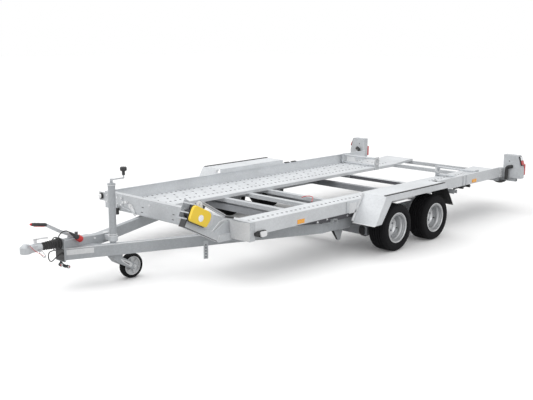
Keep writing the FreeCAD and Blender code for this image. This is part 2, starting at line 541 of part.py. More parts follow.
def sloping_sheet(x0, z0, x1, z1, y0, y1):
    """Sheet between two lines that run across the trailer."""
    length = ((x1 - x0) ** 2 + (z1 - z0) ** 2) ** 0.5
    dx, dz = (z1 - z0) / length * FENDER_SHEET, -(x1 - x0) / length * FENDER_SHEET
    return plate([(x0, z0), (x1, z1), (x1 + dx, z1 + dz), (x0 + dx, z0 + dz)], y0, y1, "y")


SKIRT_Z = FENDER_TOP - SKIRT_H
BACK_X = FENDER_REAR - 28
fender_top = box(FENDER_REAR, FENDER_FRONT, BED_Y - WALL_FLANGE, FENDER_Y, FENDER_TOP - FENDER_SHEET, FENDER_TOP)
apron = sloping_sheet(FENDER_FRONT, FENDER_TOP, FENDER_FOOT_X, FENDER_FOOT_Z, FENDER_IN, FENDER_Y)
skirt = plate([(BACK_X, SKIRT_Z), (FENDER_REAR, FENDER_TOP), (FENDER_FRONT, FENDER_TOP),
               (FENDER_FOOT_X, FENDER_FOOT_Z), (FENDER_FOOT_X - FENDER_FOOT_W, FENDER_FOOT_Z),
               (SKIRT_FRONT, SKIRT_Z)], FENDER_Y - FENDER_SHEET, FENDER_Y, "y")
fender_back = sloping_sheet(BACK_X, SKIRT_Z, FENDER_REAR, FENDER_TOP, FENDER_IN, FENDER_Y)
web = box(FENDER_REAR, FENDER_FRONT, BED_Y - WALL_FLANGE, BED_Y - WALL_FLANGE + FENDER_SHEET, WALL_TOP, FENDER_TOP)
fender = fused([fender_top, apron, skirt, fender_back, web])
save("fender_left", fender)
save("fender_right", mirrored(fender))
save("mud_flaps", both(plate([(BACK_X, SKIRT_Z), (FLAP_FOOT_X, FLAP_FOOT_Z), (FLAP_FOOT_X - FLAP_T, FLAP_FOOT_Z),
                              (BACK_X - FLAP_T, SKIRT_Z)], FENDER_IN + 40, FENDER_Y - FENDER_SHEET, "y")))

# Lamp boxes with their lamps, side lamps and reflectors
box_outline = [(BOX_IN, BOX_BOTTOM), (BOX_IN, BOX_TOP), (BOX_OUT - BOX_SLOPE_Y, BOX_TOP),
               (BOX_OUT, BOX_TOP - BOX_SLOPE_Z), (BOX_OUT, BOX_BOTTOM)]
inner_outline = [(BOX_IN + BOX_SHEET, BOX_BOTTOM + BOX_SHEET), (BOX_IN + BOX_SHEET, BOX_TOP - BOX_SHEET),
                 (BOX_OUT - BOX_SLOPE_Y - BOX_SHEET, BOX_TOP - BOX_SHEET),
                 (BOX_OUT - BOX_SHEET, BOX_TOP - BOX_SLOPE_Z), (BOX_OUT - BOX_SHEET, BOX_BOTTOM + BOX_SHEET)]
BOX_BACK = BOX_X - BOX_T
lamp_box = plate(box_outline, BOX_BACK, BOX_X, "x")
hollow = plate(inner_outline, BOX_BACK, BOX_X - BOX_SHEET, "x")
save("lamp_boxes", both(lamp_box.cut(hollow)))
TAIL_LAMP_Z = (440.0, 560.0)
save("tail_lamps", both(box(BOX_BACK - TAIL_LAMP_T, BOX_BACK, BOX_IN, BOX_OUT, *TAIL_LAMP_Z)))
marker = box(BOX_X - 62, BOX_X - 22, BOX_OUT - 40, BOX_OUT + 10, BOX_TOP - 130, BOX_TOP - 40)
front_lamp = box(BED_FRONT - 150, BED_FRONT - 70, BED_Y, BED_Y + 22, FLOOR_TOP - 22, FLOOR_TOP + 22)
save("marker_lamps", Part.makeCompound([*both(marker.cut(lamp_box)).Solids, *both(front_lamp).Solids]))
REFLECTOR_L = 90.0
REFLECTOR_Z = (FLOOR_TOP + 8, FLOOR_TOP + 44)
reflectors = [box(x, x + REFLECTOR_L, BED_Y, BED_Y + 4, *REFLECTOR_Z) for x in (BED_FRONT - 660, BED_REAR + 565)]
save("side_reflectors", both(Part.makeCompound(reflectors)))

# Wheel stops across the tracks
STOP_X = BED_REAR + 480.0
STOP_ROD_R = 12.0
STOP_ROD_Z = (FLOOR_TOP + 18, FLOOR_TOP + 104)
STOP_TOP = STOP_ROD_Z[1] + 18
STOP_HALF = 40.0          # half length of the end plates
STOP_PLATE_T = 8.0
STOP_OUT = BED_Y - 52     # outer end plate
stop_parts = [rod((STOP_X, TRACK_EDGE - STOP_PLATE_T, z), (STOP_X, y, z), STOP_ROD_R)
              for y, z in zip((WALL_IN, STOP_OUT), STOP_ROD_Z)]
stop_parts += [box(STOP_X - STOP_HALF, STOP_X + STOP_HALF, y, y + STOP_PLATE_T, low, STOP_TOP)
               for y, low in ((TRACK_EDGE - STOP_PLATE_T, LIP_BOTTOM), (STOP_OUT, STOP_ROD_Z[0] - STOP_ROD_R))]
save("wheel_stops", both(fused(stop_parts)))

# Stand of the winch: bolted to the front beam, level at first and then rising forward
half_side = STAND_SIDE / 2
ELBOW_X = BED_FRONT + STAND_LEVEL


def on_stand(along, up):
    """Point over the sloping arm: distance from the elbow, and height over the arm's top face."""
    height = half_side + up
    return (ELBOW_X + along * cos(STAND_RISE) - height * sin(STAND_RISE),
            STAND_Z + along * sin(STAND_RISE) + height * cos(STAND_RISE))


def winch_block(along, up, across):
    """Block lined up with the sloping arm, from its three pairs of limits."""
    corners = [on_stand(along[0], up[0]), on_stand(along[1], up[0]), on_stand(along[1], up[1]), on_stand(along[0], up[1])]
    return plate(corners, across[0], across[1], "y")


elbow_shift = half_side * tan(STAND_RISE / 2)
stand_bar = plate([(BED_FRONT, STAND_Z - half_side), (ELBOW_X + elbow_shift, STAND_Z - half_side),
                   on_stand(ARM_LENGTH, -STAND_SIDE), on_stand(ARM_LENGTH, 0),
                   (ELBOW_X - elbow_shift, STAND_Z + half_side), (BED_FRONT, STAND_Z + half_side)],
                  STAND_Y - half_side, STAND_Y + half_side, "y")
FLANGE_T = 6.0
FLANGE_SIDE = 35.0        # flange past the bar
FLANGE_TOP = STAND_Z + 130
flange = box(BED_FRONT, BED_FRONT + FLANGE_T, STAND_Y - half_side - FLANGE_SIDE, STAND_Y + half_side + FLANGE_SIDE,
             STAND_Z - 16, FLANGE_TOP)
gusset = plate([(BED_FRONT, STAND_Z), (BED_FRONT, FLANGE_TOP - 2), (BED_FRONT + 60, FLANGE_TOP - 10),
                (ELBOW_X + half_side, STAND_Z + STAND_SIDE), (ELBOW_X, STAND_Z)],
               STAND_Y - FLANGE_T / 2, STAND_Y + FLANGE_T / 2, "y")
save("winch_stand", fused([stand_bar, flange, gusset]))
CAP_T = 9.0
CAP_RIM = 1.5
save("winch_stand_cap", winch_block((ARM_LENGTH, ARM_LENGTH + CAP_T), (-STAND_SIDE - CAP_RIM, CAP_RIM),
                                    (STAND_Y - half_side - CAP_RIM, STAND_Y + half_side + CAP_RIM)))

# Winch: base, side plates and drum in one, gear cover, crank and grip
FRAME_END = ARM_LENGTH - 8
FRAME_ALONG = (FRAME_END - 156, FRAME_END)
FRAME_Y = (STAND_Y - 96, STAND_Y + 60)
FRAME_T = 5.0
DRUM_R = 34.0
RATCHET_R = 72.0
# Outlines as distance back from the frame's end, and height over the arm
PLATE_SIDE = [(156, 0), (0, 0), (0, 164), (62, 164), (92, 124), (156, 118)]
DRUM_AT = (67.0, 62.0)
RATCHET_AT = (161.0, 64.0)
COVER_SIDE = [(152, -2), (-26, -6), (-41, 12), (-41, 108), (-23, 127), (130, 128), (162, 112), (170, 62)]


def on_side(outline, y0, y1):
    """Outline of (back, up) over the sloping arm, drawn out across it."""
    return plate([on_stand(FRAME_END - back, up) for back, up in outline], y0, y1, "y")


def across_arm(at, y0, y1, radius):
    """Round bar across the sloping arm."""
    x, z = on_stand(FRAME_END - at[0], at[1])
    return rod((x, y0, z), (x, y1, z), radius)


plate_y = FRAME_Y[1] - FRAME_T
save("winch_frame", fused([winch_block(FRAME_ALONG, (0, FRAME_T), FRAME_Y),
                           on_side(PLATE_SIDE, FRAME_Y[0], FRAME_Y[0] + FRAME_T),
                           on_side(PLATE_SIDE, plate_y, FRAME_Y[1]),
                           across_arm(RATCHET_AT, plate_y, FRAME_Y[1], RATCHET_R),
                           across_arm(DRUM_AT, FRAME_Y[0], FRAME_Y[1], DRUM_R)]))
save("winch_cover", on_side(COVER_SIDE, FRAME_Y[1], COVER_Y))
CRANK_SHAFT = (35.0, 152.0)
CRANK_Y = (plate_y - 15, plate_y - 3)
CRANK_SIDE = [(350, 143), (350, 167), (40, 184), (40, 160)]
CRANK_HUB_R = 16.0
crank = fused([on_side(CRANK_SIDE, *CRANK_Y), across_arm(CRANK_SHAFT, CRANK_Y[0], plate_y, CRANK_HUB_R)])
save("winch_crank", crank)
GRIP_R = 9.5
grip_y = (CRANK_Y[0] + CRANK_Y[1]) / 2
grip_a, grip_b = on_stand(FRAME_END - 346, 150), on_stand(FRAME_END - 447, 172)
save("winch_grip", rod((grip_a[0], grip_y, grip_a[1]), (grip_b[0], grip_y, grip_b[1]), GRIP_R).cut(crank))

# Tilt damper: bracket under the left rail, body, rod, and the ears on the bed
foot, top_bolt = V(DAMPER_FOOT[0], DAMPER_Y, DAMPER_FOOT[1]), V(DAMPER_HEAD[0], DAMPER_Y, DAMPER_HEAD[1])
lean = top_bolt.sub(foot)
damper_l = lean.Length
lean.normalize()
DAMPER_BOLT_R = 6.0
half_eye = DAMPER_EYE_W / 2


def along_damper(distance):
    """Point on the damper's axis."""
    point = foot.add(lean * distance)
    return (point.x, point.y, point.z)


def eye(at):
    """Ring for a bolt, across the damper."""
    return rod((at[0], at[1] - half_eye, at[2]), (at[0], at[1] + half_eye, at[2]), DAMPER_EYE_R)


def eye_bolt(at, extra, radius):
    """Bolt, or its hole, across the damper."""
    reach = half_eye + extra
    return rod((at[0], at[1] - reach, at[2]), (at[0], at[1] + reach, at[2]), radius)


BRACKET_T = 5.0
bracket_side = [(DAMPER_FOOT[0] + 93, RAIL_BOTTOM), (DAMPER_FOOT[0] - 66, RAIL_BOTTOM),
                (DAMPER_FOOT[0] - 16, DAMPER_FOOT[1] - 12), (DAMPER_FOOT[0] + 12, DAMPER_FOOT[1] - 16)]
near_side = DAMPER_Y + DAMPER_R + 5
bracket = fused([plate(bracket_side, near_side, near_side + BRACKET_T, "y"),
                 box(bracket_side[1][0], bracket_side[0][0], near_side, RAIL_Y, RAIL_BOTTOM - BRACKET_T, RAIL_BOTTOM)])
foot_bolt = rod((foot.x, DAMPER_Y - half_eye - 1, foot.z), (foot.x, near_side, foot.z), DAMPER_BOLT_R)
save("damper_bracket", Part.makeCompound([bracket, foot_bolt]))
HEAD_CLEAR = 19.6         # from the end of the body to the upper bolt, pushed in
BODY_L = damper_l - HEAD_CLEAR
ROD_START = DAMPER_EYE_R + 2
body = fused([rod(along_damper(0), along_damper(BODY_L), DAMPER_R), eye(along_damper(0))])
body = body.cut(eye_bolt(along_damper(0), DAMPER_R, DAMPER_BOLT_R + PIN_GAP))
body = body.cut(rod(along_damper(ROD_START - 1), along_damper(BODY_L), DAMPER_ROD_R + PIN_GAP))
save("damper_body", body)
damper_rod = fused([rod(along_damper(ROD_START), along_damper(damper_l), DAMPER_ROD_R), eye(along_damper(damper_l))])
save("damper_rod", damper_rod.cut(eye_bolt(along_damper(damper_l), 0, DAMPER_BOLT_R + PIN_GAP)))

# Perforated strap that hangs from the left rail
STRAP_X = 2082.0
STRAP_Z = (129.0, 286.0)
STRAP_SIZE = (40.0, 5.0)
strap_y = rail_inner_y(STRAP_X) + RAIL_W / cos(RAIL_TURN)
strap = box(STRAP_X - STRAP_SIZE[0] / 2, STRAP_X + STRAP_SIZE[0] / 2, 0, STRAP_SIZE[1], *STRAP_Z)
strap.rotate(V(STRAP_X, 0, 0), V(0, 0, 1), -degrees(RAIL_TURN))
strap.translate(V(0, strap_y, 0))
save("hanging_strap", strap)

# Plug of the electrical cable, in its holder beside the housing
PLUG_START = V(3140, 70, 467)
PLUG_AXIS = V(-0.81, 0, -0.586).normalize()
PLUG_L = 132.0
PLUG_CAP_L = 42.0


def on_plug(distance):
    """Point on the plug's axis."""
    point = PLUG_START.add(PLUG_AXIS * distance)
    return (point.x, point.y, point.z)


save("plug", fused([rod(on_plug(0), on_plug(60), 13), rod(on_plug(50), on_plug(PLUG_L - PLUG_CAP_L), 20),
                    rod(on_plug(PLUG_L - PLUG_CAP_L), on_plug(PLUG_L), 26)]))

# Electrical cable: out of the front plate, a low loop, round the bellows, and over to the plug
WRAP_R = 52.0
WRAP_STEPS = 15           # of 30 degrees each, from under the bellows
WRAP_X = (3208.0, 3240.0)
cable_route = [(FACE_X, 41, 300), (3212, 41, 300), (3232, 34, 287), (3243, 16, 268), (3245, -8, 250),
               (3243, -32, 234), (3240, -57, 225), (3236, -82, 227), (3232, -103, 242), (3228, -110, 267),
               (3224, -99, 291), (3219, -75, 303), (3214, -48, 313), (3210, -22, 321)]
for step in range(WRAP_STEPS + 1):
    turn = radians(180 - 30 * step)
    x = WRAP_X[0] + (WRAP_X[1] - WRAP_X[0]) * step / WRAP_STEPS
    cable_route.append((x, WRAP_R * sin(turn), HITCH_Z + WRAP_R * cos(turn)))
cable_route += [(3241, 54, 404), (3238, 56, 430), (3228, 58, 454), (3209, 61, 474), (3184, 66, 485),
                on_plug(-25), on_plug(0)]
save("cable", bent_tube("cable", cable_route, CABLE_R))

# Snap hook over the pin of the head, with the ferrule of the breakaway cable
HOOK_R = 12.0
HOOK_WIRE = 3.0
HOOK_Y = 45.0
hook_low, hook_high = V(3356.7, HOOK_Y, 310.2), V(3385.3, HOOK_Y, 349.8)
hook_lean = degrees(atan2(hook_high.z - hook_low.z, hook_high.x - hook_low.x))
hook_edges = []
half_l = hook_low.distanceToPoint(hook_high) / 2
hook_edges.append(Part.LineSegment(V(-half_l, 0, HOOK_R), V(half_l, 0, HOOK_R)).toShape())
hook_edges.append(Part.Arc(V(half_l, 0, HOOK_R), V(half_l + HOOK_R, 0, 0), V(half_l, 0, -HOOK_R)).toShape())
hook_edges.append(Part.LineSegment(V(half_l, 0, -HOOK_R), V(-half_l, 0, -HOOK_R)).toShape())
hook_edges.append(Part.Arc(V(-half_l, 0, -HOOK_R), V(-half_l - HOOK_R, 0, 0), V(-half_l, 0, HOOK_R)).toShape())
hook_ring = Part.Wire(Part.Circle(V(-half_l, 0, HOOK_R), V(1, 0, 0), HOOK_WIRE).toShape())
hook = Part.Wire(hook_edges).makePipeShell([hook_ring], True, False)
hook.rotate(V(0, 0, 0), V(0, 1, 0), -hook_lean)
hook.translate(hook_low.add(hook_high) * 0.5)
FERRULE = ((3362.0, 50.5, 312.5), (3349.0, 50.5, 303.2))
FERRULE_R = 3.5
save("snap_hook", fused([hook, rod(*FERRULE, FERRULE_R)]).cut(head))

# Breakaway cable: from its eye on the head down to the ferrule of the snap hook
eye_start = (EYE_PIN[0] - 0.633 * EYE_PIN_R, 51, EYE_PIN[1] - 0.774 * EYE_PIN_R)
brake_route = [eye_start, (3463, 51, 394.6), (3440, 51, 370), (3413, 51, 348.5), (3387, 50.5, 330.4), FERRULE[0]]
save("breakaway_cable", bent_tube("breakaway_cable", brake_route, BRAKE_CABLE_R))
print("origin at x", X_MIDDLE, "length", NOSE_X - TAIL_X, "damper", round(damper_l, 1),
      round(degrees(atan2(lean.z, lean.x)), 2))
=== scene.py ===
# %% [markdown]
# # A tandem-axle car transporter
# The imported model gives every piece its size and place. This lesson dresses it: galvanised steel,
# rubber, perforated wheel tracks, wheels, winch, coupling, cords and lamps.

# %% Load the frame
import json
from math import atan2, cos, pi, radians, sin
import bmesh
import bpy
from mathutils import Matrix, Vector


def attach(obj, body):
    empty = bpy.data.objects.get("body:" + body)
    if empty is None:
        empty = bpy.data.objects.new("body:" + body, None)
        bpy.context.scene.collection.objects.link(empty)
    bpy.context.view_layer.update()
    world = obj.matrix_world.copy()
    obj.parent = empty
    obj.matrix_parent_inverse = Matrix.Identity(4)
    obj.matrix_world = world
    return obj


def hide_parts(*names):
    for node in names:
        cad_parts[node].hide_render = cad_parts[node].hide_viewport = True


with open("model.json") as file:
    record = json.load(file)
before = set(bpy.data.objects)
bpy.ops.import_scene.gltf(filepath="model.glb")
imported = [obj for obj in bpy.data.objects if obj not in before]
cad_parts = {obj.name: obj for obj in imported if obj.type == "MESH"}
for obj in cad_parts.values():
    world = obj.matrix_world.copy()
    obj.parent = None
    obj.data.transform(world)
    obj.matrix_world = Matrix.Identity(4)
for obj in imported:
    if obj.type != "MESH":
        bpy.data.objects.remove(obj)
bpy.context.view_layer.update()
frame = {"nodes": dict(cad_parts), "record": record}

# %% [markdown]
# The drawing of this trailer counts x from the point half way between its axles, in millimetres.
# One helper turns such a point into metres in the row frame, so that sizes can be written here as
# they stand on the drawing. Another puts a new object into the scene.

# %% Points on the drawing
X_MIDDLE = 582.0


def at(x, y, z):
    """Point of the drawing, in metres in the row frame."""
    return Vector(((x - X_MIDDLE) / 1000, y / 1000, z / 1000))


def new_object(name, data):
    """Object in the scene that shows a mesh, curve, lamp or camera."""
    made = bpy.data.objects.new(name, data)
    bpy.context.scene.collection.objects.link(made)
    return made


print("middle of the axles", tuple(at(0, 0, 0)))

# %% [markdown]
# The camera stands left of the nose, at about eye height, and looks down the trailer. Its place and
# lens come from a fit to the long straight edges. It is made first, because the cords are measured
# against what it sees.

# %% Camera
camera_data = bpy.data.cameras.new("camera")
camera_data.sensor_width = 36.0
camera_data.lens = 831.5 / 533 * camera_data.sensor_width
camera = new_object("camera", camera_data)
look = Vector((-0.70833, -0.67853, -0.19459))
right = Vector((-0.69238, 0.72152, 0.00443))
up = right.cross(look)
camera.matrix_world = Matrix.Translation(at(6649.7, 5566.8, 1989.7)) @ Matrix((
    (right.x, up.x, -look.x), (right.y, up.y, -look.y), (right.z, up.z, -look.z))).to_4x4()
camera_data.clip_end = 200
bpy.context.scene.camera = camera
print("camera at", tuple(round(v, 3) for v in camera.location), "lens", round(camera_data.lens, 2))

# %% [markdown]
# Every shaded surface gets a node material. A small helper adds nodes and joins sockets, so that
# each recipe below reads as a list of what the surface shows: base colour, larger clouds, fine
# grain, and how rough it is.

# %% Material helper
CLOUD_SCALE, GRAIN_SCALE, SPANGLE_SCALE, RELIEF_SIZE = 3.0, 120.0, 70.0, 0.0006


def add_node(tree, kind, values=(), **settings):
    """New node with some of its settings and input values set."""
    made = tree.nodes.new(kind)
    for key, value in settings.items():
        setattr(made, key, value)
    for socket, value in dict(values).items():
        made.inputs[socket].default_value = value
    return made


def wire(tree, *rows):
    """Join sockets, one row for each link: node, its output, next node, its input."""
    for source, output, target, entry in rows:
        tree.links.new(source.outputs[output], target.inputs[entry])


def recipe(name, base, metallic=0.0, roughness=0.5, cloud=0.06, grain=0.03, coat=0.0, bump=0.15, spangle=0.0,
           shine=0.5):
    """Material with a soft cloud over its colour, a fine grain in its roughness, and a slight bump."""
    material = bpy.data.materials.new(name)
    material.use_nodes = True
    tree = material.node_tree
    shader = tree.nodes["Principled BSDF"]
    place = add_node(tree, "ShaderNodeTexCoord")

    def noise(scale, detail):
        made = add_node(tree, "ShaderNodeTexNoise", {"Scale": scale, "Detail": detail})
        wire(tree, (place, "Object", made, "Vector"))
        return made

    def ranged(source, output, spread, middle=1.0, start=0.3, end=0.7):
        made = add_node(tree, "ShaderNodeMapRange", {"From Min": start, "From Max": end, "To Min": middle - spread,
                                                     "To Max": middle + spread})
        wire(tree, (source, output, made, "Value"))
        return made

    shade = ranged(noise(CLOUD_SCALE, 3.0), "Fac", cloud)
    if spangle:
        cells = add_node(tree, "ShaderNodeTexVoronoi", {"Scale": SPANGLE_SCALE})
        grey = add_node(tree, "ShaderNodeRGBToBW")
        both = add_node(tree, "ShaderNodeMath", operation="MULTIPLY")
        wire(tree, (place, "Object", cells, "Vector"), (cells, "Color", grey, "Color"), (shade, 0, both, 0),
             (ranged(grey, "Val", spangle, start=0.0, end=1.0), 0, both, 1))
        shade = both
    tint = add_node(tree, "ShaderNodeVectorMath", {0: base}, operation="SCALE")
    relief = add_node(tree, "ShaderNodeBump", {"Strength": bump, "Distance": RELIEF_SIZE})
    wire(tree, (shade, 0, tint, "Scale"), (tint, "Vector", shader, "Base Color"),
         (ranged(noise(GRAIN_SCALE, 2.0), "Fac", grain, roughness), 0, shader, "Roughness"),
         (noise(GRAIN_SCALE * 2, 2.0), "Fac", relief, "Height"), (relief, "Normal", shader, "Normal"))
    for socket, value in (("Metallic", metallic), ("Coat Weight", coat), ("Specular IOR Level", shine)):
        shader.inputs[socket].default_value = value
    return material

# %% [markdown]
# Hot-dip galvanised steel is neither a mirror nor a paint: zinc freezes in small leaf-like spangles,
# a little lighter or darker than each other, under a soft cloudy bloom. Voronoi cells give the
# spangles and noise gives the bloom.

# %% Finishes
galvanised = recipe("galvanised", (0.55, 0.57, 0.59), 0.15, 0.46, cloud=0.09, spangle=0.07)
track_zinc = recipe("track_zinc", (0.66, 0.68, 0.70), 0.12, 0.50, cloud=0.07, spangle=0.05)
# Paler copy of the zinc: the colour of paler parts, and painted highlight on edge strips, the stand's cheek and seam,
# and the beam's end sheet.
pale_zinc_and_highlight = recipe("pale_zinc_and_highlight", (0.72, 0.73, 0.74), 0.12, 0.44, cloud=0.07, spangle=0.05)
# Near-black copy of the zinc: painted shade in holes, slots, gaps, under the stand bar and on faces in shadow.
painted_shade_zinc = recipe("painted_shade_zinc", (0.09, 0.09, 0.10), 0.0, 0.70, cloud=0.10)
rail_zinc = recipe("rail_zinc", (0.41, 0.43, 0.45), 0.15, 0.46, cloud=0.09, spangle=0.07)
dark_zinc = recipe("dark_zinc", (0.30, 0.31, 0.33), 0.20, 0.45, cloud=0.10, spangle=0.08)
bright_steel = recipe("bright_steel", (0.72, 0.73, 0.74), 0.85, 0.28, cloud=0.04)
rim_silver = recipe("rim_silver", (0.52, 0.53, 0.54), 0.55, 0.30, cloud=0.05)
tyre_rubber = recipe("tyre_rubber", (0.008, 0.008, 0.009), 0.0, 0.85, cloud=0.18, grain=0.06, bump=0.3, shine=0.2)
soft_rubber = recipe("soft_rubber", (0.022, 0.022, 0.023), 0.0, 0.55, cloud=0.15)
black_plastic = recipe("black_plastic", (0.025, 0.025, 0.027), 0.0, 0.42, cloud=0.10)
satin_black = recipe("satin_black", (0.035, 0.036, 0.038), 0.2, 0.38, cloud=0.10)
winch_yellow = recipe("winch_yellow", (0.95, 0.66, 0.03), 0.0, 0.34, cloud=0.05, coat=0.3)
red_plastic = recipe("red_plastic", (0.60, 0.02, 0.02), 0.0, 0.33, cloud=0.06)
red_lens = recipe("red_lens", (0.55, 0.02, 0.02), 0.0, 0.18, cloud=0.05, coat=0.6)
amber_lens = recipe("amber_lens", (1.0, 0.42, 0.01), 0.0, 0.22, cloud=0.05, coat=0.5)
clear_lens = recipe("clear_lens", (0.90, 0.91, 0.92), 0.0, 0.12, cloud=0.04, coat=0.6)
SLOT_FINISH = {"galvanised": galvanised, "black_plastic": black_plastic, "winch_cover_yellow": winch_yellow,
               "red_plastic": red_plastic, "amber_lens": amber_lens, "lamp_lens": clear_lens, "tyre": tyre_rubber,
               "black_rubber": soft_rubber, "rim_silver": rim_silver, "dark_steel": satin_black}
FINISH_SLOT = {finish.name: slot for slot, finish in SLOT_FINISH.items()}
FINISH_SLOT.update(dict.fromkeys(("track_zinc", "pale_zinc_and_highlight", "painted_shade_zinc", "dark_zinc"), "galvanised"),
                   bright_steel="rim_silver", red_lens="red_plastic")
NODE_FINISH = {entry["node"]: SLOT_FINISH[entry["material_slot"]] for entry in frame["record"]["subparts"]}
NODE_FINISH.update(dict.fromkeys(("axle_front", "axle_rear", "chassis_cross_tubes"), dark_zinc))
NODE_FINISH.update(dict.fromkeys(("fender_left", "fender_right"), track_zinc))
NODE_FINISH.update(dict.fromkeys(("chassis_rail_left", "chassis_rail_right", "overrun_housing", "centre_beam",
                                  "jockey_tube", "jockey_fork"), rail_zinc))
for name, finish in NODE_FINISH.items():
    for place in frame["nodes"][name].material_slots:
        place.material = finish
print("finishes", len(bpy.data.materials), "on", len(frame["nodes"]), "nodes")

# %% [markdown]
# Two cords leave the nose. The black electrical cable comes out of the front plate, drops in a low
# loop, goes once round the bellows and ends in its plug. The thin red breakaway cable hangs from the
# head down to its snap hook. Each is a NURBS curve through given control points, which gives
# the even, springy line of a real cable.

# %% Cords
def cord_curve(name, points, radius, material, replaced):
    """Curve with a round section that follows control points of the drawing, in place of a node."""
    curve = bpy.data.curves.new(name, "CURVE")
    curve.dimensions = "3D"
    spline = curve.splines.new("NURBS")
    spline.points.add(len(points) - 1)
    for control, point in zip(spline.points, points):
        control.co = (*at(*point), 1.0)
    spline.order_u = 3
    spline.use_endpoint_u = True
    spline.resolution_u = 8
    curve.bevel_depth = radius / 1000
    curve.bevel_resolution = 4
    curve.use_fill_caps = True
    curve.materials.append(material)
    piece = new_object(name, curve)
    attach(piece, "chassis")
    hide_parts(replaced)
    return piece


HITCH_Z, WRAP_R, WRAP_STEPS = 378.0, 52, 15
WRAP_TURNS = [radians(180 - 30 * k) for k in range(WRAP_STEPS + 1)]
WRAP = [(3208.0 + 32.0 * k / WRAP_STEPS, WRAP_R * sin(turn), HITCH_Z + WRAP_R * cos(turn))
        for k, turn in enumerate(WRAP_TURNS)]
CABLE = [(3190, 41, 300), (3212, 41, 300), (3232, 34, 287), (3243, 16, 268), (3245, -8, 250), (3243, -32, 234),
         (3240, -57, 225), (3236, -82, 227), (3232, -103, 242), (3228, -110, 267), (3224, -99, 291),
         (3219, -75, 303), (3214, -48, 313), (3210, -22, 321), *WRAP, (3241, 54, 404), (3238, 56, 430),
         (3228, 58, 454), (3209, 61, 474), (3184, 66, 485), (3160.25, 70, 481.65), (3140, 70, 467)]
cable = cord_curve("electrical_cable", CABLE, 4.5, soft_rubber, "cable")
BREAKAWAY = [(3480.8, 51, 416.1), (3463, 51, 394.6), (3440, 51, 370), (3413, 51, 348.5), (3387, 50.5, 330.4),
             (3362, 50.5, 312.5)]
breakaway = cord_curve("breakaway_line", BREAKAWAY, 2.0, red_plastic, "breakaway_cable")
print("cords", cable.name, breakaway.name)

# %% [markdown]
# Small mesh helpers follow. Each adds a shape to an open bmesh, in the drawing's millimetres: an
# outline drawn out along an axis, a block, a rod, a turned ring and a bent tube. Many plain shapes
# in one bmesh become one piece, with a fine bevel that catches the light along its edges. A finished
# piece leaves its bmesh empty, ready for the next one.

# %% Mesh helpers
X_AXIS, Y_AXIS, Z_AXIS = Vector((1, 0, 0)), Vector((0, 1, 0)), Vector((0, 0, 1))
ON_AXIS = 0.01


def side_axes(direction):
    """Two directions square to a third."""
    helper = Z_AXIS if abs(direction.z) < 0.9 else X_AXIS
    first = direction.cross(helper).normalized()
    return first, direction.cross(first).normalized()


def add_ring(bm, middle, u, v, radius, sides):
    """Circle of vertices round a place in the row frame."""
    return [bm.verts.new(middle + (u * cos(2 * pi * k / sides) + v * sin(2 * pi * k / sides)) * radius / 1000)
            for k in range(sides)]


def add_skin(bm, first, second):
    """Faces between two rings, with triangles where one of them is a single point."""
    faces = []
    for k in range(len(first)):
        n = (k + 1) % len(first)
        corners = list(dict.fromkeys((first[k], first[n], second[n], second[k])))
        if len(corners) > 2:
            faces.append(bm.faces.new(corners))
    return faces


def add_outline(bm, points, start, end, axis="x"):
    """Closed outline in the two other axes, drawn out along one axis."""
    spot = {"x": lambda a, b, s: at(s, a, b), "y": lambda a, b, s: at(a, s, b), "z": lambda a, b, s: at(a, b, s)}[axis]
    rings = [[bm.verts.new(spot(a, b, side)) for a, b in points] for side in (start, end)]
    faces = [bm.faces.new(rings[0]), bm.faces.new(rings[1][::-1]), *add_skin(bm, *rings)]
    bmesh.ops.recalc_face_normals(bm, faces=faces)


def add_block(bm, x0, x1, y0, y1, z0, z1):
    """Block between two corners."""
    add_outline(bm, [(y0, z0), (y1, z0), (y1, z1), (y0, z1)], x0, x1)


def add_bent_rod(bm, points, radii, sides=12):
    """Round bar along a row of points of the drawing, with a radius for each."""
    places = [at(*p) for p in points]
    rings = []
    u = None
    for i, (place, radius) in enumerate(zip(places, radii)):
        tangent = (places[min(i + 1, len(places) - 1)] - places[max(i - 1, 0)]).normalized()
        u = side_axes(tangent)[0] if u is None else u
        u = (u - tangent * u.dot(tangent)).normalized()
        rings.append(add_ring(bm, place, u, tangent.cross(u), radius, sides))
    faces = [face for a, b in zip(rings, rings[1:]) for face in add_skin(bm, a, b)]
    faces += [bm.faces.new(rings[0]), bm.faces.new(rings[-1][::-1])]
    bmesh.ops.recalc_face_normals(bm, faces=faces)


def add_rod(bm, start, end, radius, sides=20, end_radius=None):
    """Round bar or cone between two points of the drawing."""
    add_bent_rod(bm, [start, end], [radius, end_radius or radius], sides)


def add_turned(bm, profile, centre, direction, sides=48):
    """Closed outline of (distance along the axis, radius), turned about an axis through a point of the drawing."""
    along = Vector(direction).normalized()
    u, v = side_axes(along)
    rings = []
    for distance, radius in profile:
        base = at(*centre) + along * distance / 1000
        rings.append([bm.verts.new(base)] * sides if radius < ON_AXIS else add_ring(bm, base, u, v, radius, sides))
    faces = [face for a, b in zip(rings, rings[1:] + rings[:1]) for face in add_skin(bm, a, b)]
    bmesh.ops.recalc_face_normals(bm, faces=faces)


def dressed(name, mesh, body, smooth):
    """Smooth piece with sharp edges past an angle, riding on its body."""
    piece = new_object(name, mesh)
    mesh.polygons.foreach_set("use_smooth", [True] * len(mesh.polygons))
    mesh.set_sharp_from_angle(angle=radians(smooth))
    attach(piece, body)
    return piece


def finished(name, bm, material, body, replaces=(), bevel=0.0, smooth=35):
    """Piece of the object made from an open bmesh, with its finish."""
    mesh = bpy.data.meshes.new(name)
    bm.to_mesh(mesh)
    bm.clear()
    mesh.materials.append(material)
    piece = dressed(name, mesh, body, smooth)
    if bevel:
        edge = piece.modifiers.new("edge", "BEVEL")
        edge.width = bevel / 1000
        edge.segments = 2
        edge.limit_method = "ANGLE"
        edge.angle_limit = radians(40)
        edge.harden_normals = True
    if replaces:
        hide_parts(*replaces)
    print(name, len(mesh.polygons), "faces on", body)
    return piece

